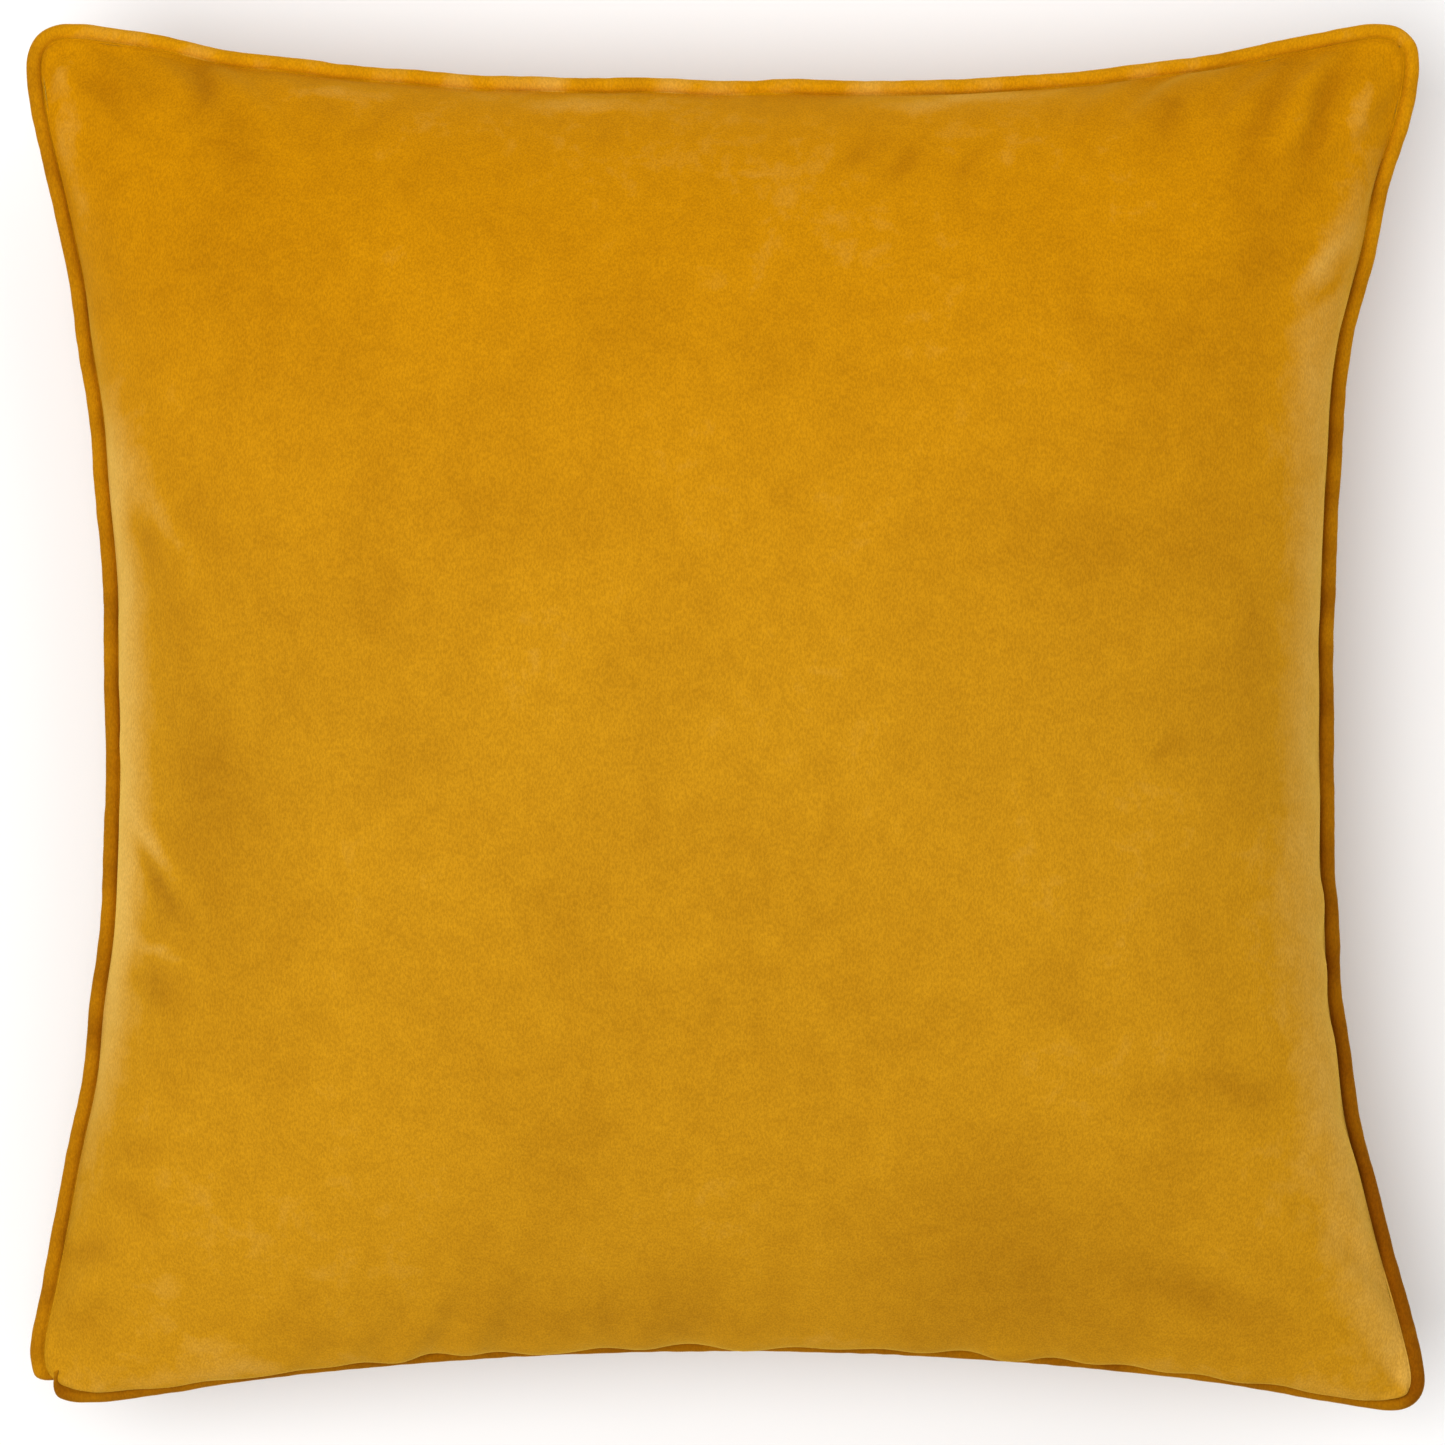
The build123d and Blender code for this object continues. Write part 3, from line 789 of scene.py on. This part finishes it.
def piping_wrap():
    """Bias-cut velvet round the cord, with its flange between the panels' allowances."""
    place, seam, out, across, above, centre, squeeze = piping_frames()
    opening = math.asin(FLANGE_HALF / PIPING_RADIUS)
    turn = np.linspace(-math.pi + opening, math.pi - opening, WRAP_AROUND)
    ripple = np.zeros((len(place), WRAP_AROUND))
    for k, (wave, twist) in enumerate(((17, 1), (29, 2), (11, -1), (47, 1))):
        phase = math.tau * wander(place, 60 * MM, 300 * MM, 50 + k) * 0.35
        along = place / (wave * MM) * math.tau + phase
        ripple += np.sin(along[:, None] + twist * turn[None, :])
    radius = PIPING_RADIUS * squeeze[:, None] * (1 + 0.016 * ripple)
    radius = np.minimum(radius, PIPING_RADIUS * 1.03)
    tube = round_sections(centre, across, above, radius, turn)
    # The flange: from the tube's upper lip in along the seam, round its edge and back.
    allowance = allowance_at(place % outline.length)
    half = FLANGE_HALF - PILE_GAP
    flange = []
    for side, share in ((1, 0.03), (1, 0.5), (1, 0.98), (-1, 0.98), (-1, 0.5), (-1, 0.03)):
        flange.append(seam - out * (share * allowance)[:, None] + UP * (side * half))
    section = np.concatenate([tube, np.stack(flange, axis=1)], axis=1)
    section = np.roll(section, len(flange) // 2, axis=1)  # upper half after lower half
    outer = swept(section)
    radius = (CORD_RADIUS + PILE_GAP) * squeeze[:, None]
    turn = np.linspace(0, -math.tau, BORE_AROUND, endpoint=False)
    bore = round_sections(centre, across, above, radius, turn)
    made = joined("velvet_piping", [outer, swept(bore[1:-1])])
    # Painted shade and sheen by the way each place faces, more painted shade down the right
    # side, and random wandering.
    shade_and_tone = np.interp(out[:, 1], *PIPING_SHADE_BY_FACING)
    shade_and_tone += (RIGHT_SHADE_RISE * seam[:, 1] + RIGHT_SHADE_MIDDLE) * smooth(out[:, 0])
    shade_and_tone = shade_and_tone + 0.07 * wander(place, 20 * MM, 120 * MM, 61)
    return with_shade_and_tone(made, np.repeat(shade_and_tone, section.shape[1]))


def piping_cord():
    """Three twisted strands of cotton."""
    place, _, _, across, above, centre, squeeze = piping_frames()
    turn = np.linspace(0, math.tau, CORD_AROUND, endpoint=False)
    twist = place / CORD_LAY * math.tau
    strand = np.abs(np.cos(1.5 * (turn[None, :] - twist[:, None])))
    radius = CORD_RADIUS * squeeze[:, None] * (0.86 + 0.14 * strand)
    section = round_sections(centre, across, above, radius, turn)
    return joined("cotton_cord", [swept(section[1:-1])])


piping = piping_wrap()
cord = piping_cord()

# ---- seams
STITCH_PITCH = 2.6 * MM
STITCH_LENGTH = 2.1 * MM
STITCH_INSET = 4 * MM
THREAD_RADIUS = 0.2 * MM


def stitch_row(start, end, point_at):
    """Lines of stitches from start to end of a row, where point_at gives its points."""
    count = int((end - start) / STITCH_PITCH)
    along = np.linspace(0, STITCH_LENGTH, 5)
    places = start + np.arange(count)[:, None] * STITCH_PITCH + along
    return list(point_at(places.ravel()).reshape(count, len(along), 3))


def beside_seam(place, rise):
    seam, out = seam_at(place % outline.length)
    return seam - out * STITCH_INSET + UP * rise


def cover_stitches():
    """The seam on top, and below it as far as the zip's opening."""
    rise = FLANGE_HALF + CLOTH + THREAD_RADIUS
    middle = outline.corners[1] / 2
    reach = ZIP_OPENING_HALF + HEM_TURN
    past_zip, to_zip = middle + reach, outline.length + middle - reach
    lines = stitch_row(0, outline.length, lambda place: beside_seam(place, rise))
    lines += stitch_row(past_zip, to_zip, lambda place: beside_seam(place, -rise))
    return stitches("cover_seam_stitches", lines, THREAD_RADIUS)


def overlock():
    """Thread looped round the raw edges of the allowances."""
    count = 8
    turns = int(outline.length / (3 * MM))
    step = np.arange(turns * count) / count
    place = step / turns * outline.length
    turn = step % 1 * math.tau
    half = FLANGE_HALF + CLOTH + 0.25 * MM
    inset = allowance_at(place) + (1.2 * np.cos(turn) - 0.4) * MM
    seam, out = seam_at(place)
    line = seam - out * inset[:, None] + UP * (np.sin(turn) * half)[:, None]
    return joined("overlock_thread", [swept(tube_sections(line, 0.15 * MM, 5), True)])


cover_thread = cover_stitches()
edge_thread = overlock()

# ---- zip
TAPE_TOP = -2.4 * MM
COIL_TOP = TAPE_TOP + 2.0 * MM
COIL_BACK = 2.3 * MM  # from the chain's middle
COIL_PITCH = 1.15 * MM
COIL_WIRE = 0.27 * MM
HEAD_PAST_MIDDLE = 0.35 * MM
HEAD_PARTED = -0.8 * MM
PARTING = (181.6 * MM, 186.2 * MM)  # the slider's post holds the coils apart


def coil(name, side):
    """One coil: side -1 is sewn to the seam's tape and 1 to the hem's."""
    turns = int(2 * ZIP_HALF / COIL_PITCH) - 1
    # One turn: out along the tape, round the head, back above, and on to the next.
    reach = (0, 0.45, 0.9, 1, 1, 0.9, 0.45, 0, -0.08, -0.08)
    advance = (0, 0, 0, 0, 0, 0, 0, 0, 0.3, 0.7)
    rise = (0, 0, 0, 0.25, 0.75, 1, 1, 1, 0.75, 0.25)
    start = -ZIP_HALF + COIL_WIRE + (0.5 * COIL_PITCH if side > 0 else 0)
    place = (start + np.add.outer(np.arange(turns), advance) * COIL_PITCH).ravel()
    reach, rise = np.tile(reach, turns), np.tile(rise, turns)
    apart = smooth((place - PARTING[0]) / (PARTING[1] - PARTING[0]))
    head = HEAD_PAST_MIDDLE + (HEAD_PARTED - HEAD_PAST_MIDDLE) * apart
    back_at = COIL_BACK - COIL_WIRE
    from_middle = -back_at + (back_at + head - COIL_WIRE) * reach
    down = CHAIN_PLACE - side * from_middle
    low, high = TAPE_TOP + COIL_WIRE, COIL_TOP - COIL_WIRE
    line = band_point(place, down, low + (high - low) * rise)
    return joined(name, [swept(tube_sections(line, COIL_WIRE, 8))])


HEM_ROW = HEM_DROP + 2.75 * MM
MARGIN_ROW_DROP = 1.0 * MM


def zip_stitches():
    """A row through the hem and one that joins the upper tape to the seam's allowances."""

    def hem_row(place):
        return band_point(place, HEM_ROW, 0.14 * MM)

    def margin_row(place):
        inset = STITCH_INSET * SLOPE
        level = UP * (BAND_START - MARGIN_ROW_DROP)
        return band_point(place, inset, inset) * [1, 1, 0] + level

    end = ZIP_OPENING_HALF - 2 * MM
    lines = stitch_row(-end, end, hem_row) + stitch_row(-end, end, margin_row)
    return stitches("zip_seam_stitches", lines, 0.24 * MM)


upper_coil = coil("zip_coil_by_seam", -1)
lower_coil = coil("zip_coil_by_hem", 1)
zip_thread = zip_stitches()

# ---- inner cushion
INSERT_INSET = 16 * MM
INSERT_GAP = 6.5 * MM
CASING = 0.6 * MM
FILL_GAP = 0.15 * MM
INSERT_CELLS = 110
BEYOND = 0.3  # where rays start, clear of the cushion
insert_outline = Outline(inset=INSERT_INSET, radii=(12 * MM,) * 4)


def tree_of(grid, side):
    cells = grid.shape[0] - 1
    faces = grid_faces(cells, cells, side)
    return BVHTree.FromPolygons(grid.reshape(-1, 3).tolist(), faces.tolist())


def insert_grid(panel):
    """Half of the inner cushion, inside the cover's panel at an even distance."""
    cells = INSERT_CELLS
    grid = square_grid(insert_outline.at(insert_outline.ring(cells)), cells)
    r, _ = ring_places(np.linspace(-1, 1, cells + 1))
    away = (1 - r) * SEAM_HEIGHT / 2
    tree = tree_of(panel.grid, panel.side)
    depth = np.zeros(away.shape)
    level = SEAM_LEVEL - corner_droop(grid.reshape(-1, 2)).reshape(away.shape)
    start_z = SEAM_LEVEL + panel.side * BEYOND
    for i, j in np.ndindex(away.shape):
        x, y = grid[i, j]
        hit = tree.ray_cast(Vector((x, y, start_z)), Vector(-panel.side * UP))[0]
        depth[i, j] = abs(hit.z - level[i, j]) if hit else 0
    depth = np.maximum(depth - INSERT_GAP, 0) * (1 - np.exp(-away / (9 * MM)))
    z = level + panel.side * depth
    return np.concatenate([grid, z[..., None]], axis=-1)


def casing(name, grid, side):
    inner = grid - grid_normals(grid, side) * CASING
    border = border_index(grid.shape[0] - 1)
    inner.reshape(-1, 3)[border, 2] = grid.reshape(-1, 3)[border, 2]
    return shell(name, grid, inner, [], side)


def filling(front_grid, back_grid):
    inside = CASING + FILL_GAP
    halves = [
        grid - grid_normals(grid, side) * inside
        for grid, side in ((front_grid, 1), (back_grid, -1))
    ]
    border = border_index(INSERT_CELLS)
    middle = (halves[0].reshape(-1, 3)[border] + halves[1].reshape(-1, 3)[border]) / 2
    for half, side in zip(halves, (1, -1)):
        half.reshape(-1, 3)[border] = middle + UP * side * 0.2 * MM
    return shell("fibre_filling", halves[0], halves[1], [], 1)


front_insert = insert_grid(front)
back_insert = insert_grid(back)
casing_front = casing("casing_front", front_insert, 1)
casing_back = casing("casing_back", back_insert, -1)
fill = filling(front_insert, back_insert)


def insert_stitches():
    def point_at(place):
        xy = insert_outline.at(place) + insert_outline.outward(place) * 0.3 * MM
        return np.c_[xy, SEAM_LEVEL - corner_droop(xy)]

    lines = stitch_row(0, insert_outline.length, point_at)
    return stitches("casing_seam_stitches", lines, 0.25 * MM)


casing_thread = insert_stitches()

# ---- care label
LABEL_LENGTH = 21 * MM
LABEL_WIDTH = 30 * MM
LABEL_START = 6 * MM
LABEL_DEPTH = 1.9 * MM
LABEL_THICKNESS = 0.35 * MM


def care_label():
    """Blank satin strip, caught in the left seam and lying against the back panel's inside."""
    tree = tree_of(back.grid - back.normals * LABEL_DEPTH, 1)
    middle = (outline.corners[3] + outline.corners[4]) / 2
    rows, columns = 15, 12
    place = middle + np.linspace(-LABEL_WIDTH / 2, LABEL_WIDTH / 2, rows + 1)
    seam, out = seam_at(place)
    points = []
    for i in range(rows + 1):
        for j in range(columns + 1):
            x, y, _ = seam[i] - out[i] * (LABEL_START + LABEL_LENGTH * j / columns) * SLOPE
            hit = tree.ray_cast(Vector((x, y, -BEYOND)), Vector(UP))[0]
            points.append((x, y, hit.z))
    made = new_object("satin_label", points, grid_faces(rows, columns, -1))
    thick = made.modifiers.new("thick", "SOLIDIFY")
    thick.thickness = LABEL_THICKNESS
    thick.offset = 0
    return made


label = care_label()


# ---- materials
def linear(r, g, b):
    """Linear colour from display values of 0 to 255."""
    return tuple(
        c / 255 / 12.92 if c < 10 else ((c / 255 + 0.055) / 1.055) ** 2.4
        for c in (r, g, b)
    )


class Nodes:
    """Short way to build a material's nodes."""

    def __init__(self, name):
        self.material = bpy.data.materials.new(name)
        self.material.use_nodes = True
        self.tree = self.material.node_tree
        self.shader = self.tree.nodes["Principled BSDF"]
        self.place = self.node("ShaderNodeTexCoord").outputs["Object"]

    def node(self, kind, **settings):
        made = self.tree.nodes.new(kind)
        for key, value in settings.items():
            setattr(made, key, value)
        return made

    def link(self, start, end):
        self.tree.links.new(start, end)

    def set(self, **values):
        """Constants on the shader: words joined by _ name its sockets."""
        for key, value in values.items():
            socket = self.shader.inputs[key.replace("_", " ")]
            socket.default_value = (*value, 1.0) if isinstance(value, tuple) else value

    def colour(self, source):
        self.link(source, self.shader.inputs["Base Color"])

    def normal(self, source):
        self.link(source, self.shader.inputs["Normal"])

    def mapped(self, stretch, turn=(0, 0, 0)):
        mapping = self.node("ShaderNodeMapping")
        mapping.inputs["Scale"].default_value = stretch
        mapping.inputs["Rotation"].default_value = turn
        self.link(self.place, mapping.inputs["Vector"])
        return mapping.outputs["Vector"]

    def texture(self, made, where, **values):
        for key, value in values.items():
            made.inputs[key].default_value = value
        self.link(where or self.place, made.inputs["Vector"])
        return made.outputs["Fac"]

    def noise(self, scale, detail=2.0, roughness=0.5, distortion=0.0, where=None):
        made = self.node("ShaderNodeTexNoise")
        values = dict(Scale=scale, Detail=detail, Roughness=roughness, Distortion=distortion)
        return self.texture(made, where, **values)

    def wave(self, scale, where=None, direction="X", distortion=0.0):
        made = self.node("ShaderNodeTexWave", bands_direction=direction)
        return self.texture(made, where, Scale=scale, Distortion=distortion)

    def spread(self, value, low, high, to_low=0.0, to_high=1.0, kind="SMOOTHSTEP"):
        made = self.node("ShaderNodeMapRange", interpolation_type=kind)
        for socket, limit in zip(made.inputs[1:5], (low, high, to_low, to_high)):
            socket.default_value = limit
        self.link(value, made.inputs["Value"])
        return made.outputs["Result"]

    def sum(self, *values):
        total = values[0]
        for value in values[1:]:
            made = self.node("ShaderNodeMath", operation="ADD")
            self.link(total, made.inputs[0])
            self.link(value, made.inputs[1])
            total = made.outputs[0]
        return total

    def mix(self, amount, first, second, blend="MIX"):
        made = self.node("ShaderNodeMix", data_type="RGBA", blend_type=blend)
        for socket, value in ((0, amount), (6, first), (7, second)):
            if isinstance(value, (int, float)):
                made.inputs[socket].default_value = value
            elif isinstance(value, tuple):
                made.inputs[socket].default_value = (*value, 1.0)
            else:
                self.link(value, made.inputs[socket])
        return made.outputs[2]

    def bump(self, height, strength, distance, below=None):
        made = self.node("ShaderNodeBump")
        made.inputs["Strength"].default_value = strength
        made.inputs["Distance"].default_value = distance
        self.link(height, made.inputs["Height"])
        if below:
            self.link(below, made.inputs["Normal"])
        return made.outputs["Normal"]


# Lower and upper colours of the face and the piping: the change from one to the other is
# painted sheen and shade.
VELVET_LOWER = linear(182, 128, 17)
VELVET_UPPER = linear(189, 125, 0)
PIPING_LOWER = linear(180, 120, 6)
PIPING_UPPER = linear(194, 131, 4)
# Colours that the tone darkens or pales towards: painted shade and crushed pile, painted sheen
# and pale pile.
DARK_PILE_AND_SHADE = (0.45, 0.32, 0.2)
PALE_PILE_AND_SHEEN = linear(216, 172, 86)
CRUSHED = 0.1  # how far crushed patches darken the pile's tone


def velvet(name, lower, upper):
    """Short dense pile with a fine upright grain, and painted shade and sheen: its colour
    changes from lower to upper, and the stored tone darkens or pales it, with random crushed
    patches.
    """
    m = Nodes(name)
    where = m.node("ShaderNodeSeparateXYZ")
    m.link(m.place, where.inputs[0])
    # Painted sheen and shade: the colour changes from the lower part to the upper.
    base = m.mix(m.spread(where.outputs["Y"], -0.04, 0.26), lower, upper)
    shade_and_tone = m.node("ShaderNodeAttribute", attribute_name="shade_and_tone").outputs["Fac"]
    broad = m.spread(m.noise(6, 2, 0.5, 0.3), 0.3, 0.7, -0.1, 0.05)
    brushed = m.noise(22, 4, 0.55, 0.6, where=m.mapped((1, 0.7, 1), (0, 0, 0.3)))
    brushed = m.spread(brushed, 0.3, 0.7, -CRUSHED, 0.4 * CRUSHED)
    patches = m.spread(m.noise(90, 4, 0.65, 0.5), 0.3, 0.7, -CRUSHED, 0.4 * CRUSHED)
    shade_and_tone = m.sum(shade_and_tone, broad, brushed, patches)
    # Below 0 the tone darkens towards painted shade and crushed pile; above 0 it pales towards
    # painted sheen.
    dark = m.mix(1.0, base, DARK_PILE_AND_SHADE, "MULTIPLY")
    colour = m.mix(m.spread(shade_and_tone, 0.0, -1.0, kind="LINEAR"), base, dark)
    colour = m.mix(m.spread(shade_and_tone, 0.0, 1.0, kind="LINEAR"), colour, PALE_PILE_AND_SHEEN)
    pile = m.noise(1500, 2, 0.65, where=m.mapped((1, 0.45, 1)))
    tips = m.mix(m.spread(pile, 0.3, 0.7), (0.86, 0.85, 0.82), (1.12, 1.12, 1.12))
    m.colour(m.mix(1.0, colour, tips, "MULTIPLY"))
    m.set(Roughness=0.9, Specular_IOR_Level=0.03, Sheen_Weight=0.5)
    m.set(Sheen_Roughness=0.33, Sheen_Tint=(1.0, 0.72, 0.1))
    tufts = m.bump(m.noise(300, 3, 0.6), 0.2, 0.4 * MM)
    m.normal(m.bump(pile, 0.5, 0.25 * MM, tufts))
    return m.material


def spun_thread(name, colour):
    m = Nodes(name)
    twist = m.wave(700, m.mapped((1, 1, 1), (0.5, 0.6, 0.7)), distortion=1.0)
    dark = tuple(0.7 * c for c in colour)
    m.colour(m.mix(m.spread(twist, 0.1, 0.7), dark, colour))
    m.set(Roughness=0.55, Sheen_Weight=0.3, Sheen_Roughness=0.4)
    m.normal(m.bump(twist, 0.5, 0.08 * MM))
    return m.material


def woven(name, warp, weft, threads, relief):
    """Plain weave: threads per metre both ways, seen from above."""
    m = Nodes(name)
    scale = threads / 20 * math.pi
    across, along = (m.wave(scale, direction=axis, distortion=0.4) for axis in "XY")
    check = m.mix(1.0, across, along, "DIFFERENCE")
    slub = m.spread(m.noise(60, 4, 0.6), 0.3, 0.7)
    cloth = m.mix(check, warp, weft)
    faded = m.mix(1.0, cloth, (0.88, 0.88, 0.88), "MULTIPLY")
    m.colour(m.mix(slub, faded, cloth))
    m.set(Roughness=0.8, Sheen_Weight=0.15, Sheen_Roughness=0.5)
    m.normal(m.bump(check, 0.6, relief))
    return m.material


def nylon(name, colour):
    m = Nodes(name)
    m.colour(m.mix(m.noise(900, 2), tuple(0.85 * c for c in colour), colour))
    m.set(Roughness=0.32, Specular_IOR_Level=0.5, Coat_Weight=0.15)
    m.normal(m.bump(m.noise(2500, 1), 0.1, 0.03 * MM))
    return m.material


def antique_brass(name):
    m = Nodes(name)
    tarnish = m.spread(m.noise(240, 3, 0.5), 0.35, 0.75)
    m.colour(m.mix(tarnish, linear(202, 164, 92), linear(160, 122, 62)))
    scratch = m.noise(1500, 2, 0.5, where=m.mapped((1, 0.12, 1), (0, 0, 0.4)))
    m.link(m.spread(scratch, 0.3, 0.7, 0.22, 0.42), m.shader.inputs["Roughness"])
    m.set(Metallic=1.0)
    m.normal(m.bump(scratch, 0.15, 0.02 * MM))
    return m.material


def satin(name):
    m = Nodes(name)
    float_yarn = m.noise(2600, 2, 0.5, where=m.mapped((1, 0.08, 1)))
    m.colour(m.mix(float_yarn, linear(226, 222, 212), linear(246, 243, 236)))
    m.set(Roughness=0.38, Sheen_Weight=0.2, Anisotropic=0.5)
    m.normal(m.bump(float_yarn, 0.3, 0.05 * MM))
    return m.material


def fibre(name):
    m = Nodes(name)
    strands = m.noise(240, 6, 0.72, 2.5)
    m.colour(m.mix(strands, linear(214, 212, 206), linear(250, 249, 246)))
    m.set(Roughness=0.9, Subsurface_Weight=0.15, Subsurface_Scale=0.004)
    m.normal(m.bump(strands, 0.9, 2 * MM))
    return m.material


face_velvet = velvet("face_velvet", VELVET_LOWER, VELVET_UPPER)
piping_velvet = velvet("piping_velvet", PIPING_LOWER, PIPING_UPPER)
matching_thread = spun_thread("matching_thread", linear(204, 142, 30))
undyed = spun_thread("undyed_cotton", linear(226, 216, 196))
zip_tape = woven("zip_tape", linear(164, 112, 14), linear(196, 138, 28), 2600, 0.1 * MM)
cambric = woven("cambric", linear(232, 230, 224), linear(250, 249, 245), 2400, 0.08 * MM)
zip_nylon = nylon("zip_nylon", linear(196, 136, 22))
brass = antique_brass("antique_brass")
label_satin = satin("label_satin")
filling_fibre = fibre("filling_fibre")

# What each Blender piece stands for, its material slot in the record, and its finish.
PIECES = (
    (front_panel, "front_panel", "velvet", face_velvet),
    (back_panel, "back_panel", "velvet", face_velvet),
    (piping, "piping_wrap", "velvet", piping_velvet),
    (cord, "piping_cord", "cotton_cord", undyed),
    (cover_thread, "cover_seam_thread", "sewing_thread", matching_thread),
    (edge_thread, "overlock_edging", "sewing_thread", matching_thread),
    (upper_coil, "zip_coil_upper", "zip_nylon", zip_nylon),
    (lower_coil, "zip_coil_lower", "zip_nylon", zip_nylon),
    (zip_thread, "zip_stitching", "sewing_thread", matching_thread),
    (label, "care_label", "label_satin", label_satin),
    (casing_front, "insert_front_casing", "cambric", cambric),
    (casing_back, "insert_back_casing", "cambric", cambric),
    (casing_thread, "insert_seam_thread", "sewing_thread", undyed),
    (fill, "insert_fill", "filling", filling_fibre),
)
for piece, node, slot, finish in PIECES:
    piece.data.materials.append(finish)
    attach(piece, "cushion")
    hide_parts(node)

# The CAD nodes that stay, and their finishes.
KEPT_NODES = {
    "zip_tape_upper": zip_tape,
    "zip_tape_lower": zip_tape,
    "zip_top_stops": brass,
    "zip_bottom_stop": brass,
    "zip_slider": brass,
    "zip_pull": brass,
}
for node, finish in KEPT_NODES.items():
    for material_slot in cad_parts[node].material_slots:
        material_slot.material = finish


# ---- floor, light, camera
def studio_floor():
    made = floor_square("floor", 4.0)
    paper = Nodes("paper")
    paper.colour(paper.mix(paper.noise(3, 2), (0.86, 0.86, 0.86), (0.88, 0.88, 0.88)))
    paper.set(Roughness=0.9)
    made.data.materials.append(paper.material)


def area_light(name, place, size, watts):
    light = bpy.data.lights.new(name, "AREA")
    light.shape = "DISK"
    light.size = size
    light.energy = watts
    made = placed(name, light)
    made.location = place
    towards = Vector((0, 0, SEAM_LEVEL)) - Vector(place)
    made.rotation_euler = towards.to_track_quat("-Z", "Y").to_euler()


def studio_world(strength):
    world = bpy.data.worlds.new("studio")
    world.use_nodes = True
    sky = world.node_tree.nodes["Background"]
    sky.inputs["Color"].default_value = (1, 1, 1, 1)
    sky.inputs["Strength"].default_value = strength
    bpy.context.scene.world = world
    bpy.context.scene.view_settings.view_transform = "Standard"


def overhead_camera():
    """Straight above, with a long lens, as a product is photographed lying down."""
    view_width = 577.1 * MM  # across the picture, at the seam's level
    height = 2.1
    sensor = 36
    data = bpy.data.cameras.new("camera")
    data.sensor_width = sensor
    data.lens = sensor * height / view_width
    camera = placed("camera", data)
    camera.location = (-0.4 * MM, -2.8 * MM, SEAM_LEVEL + height)
    bpy.context.scene.camera = camera


studio_floor()
area_light("key", (-0.7, -0.2, 2.2), 2.0, 40)
area_light("fill", (1.2, 1.3, 1.8), 2.0, 12)
studio_world(0.6)
overhead_camera()
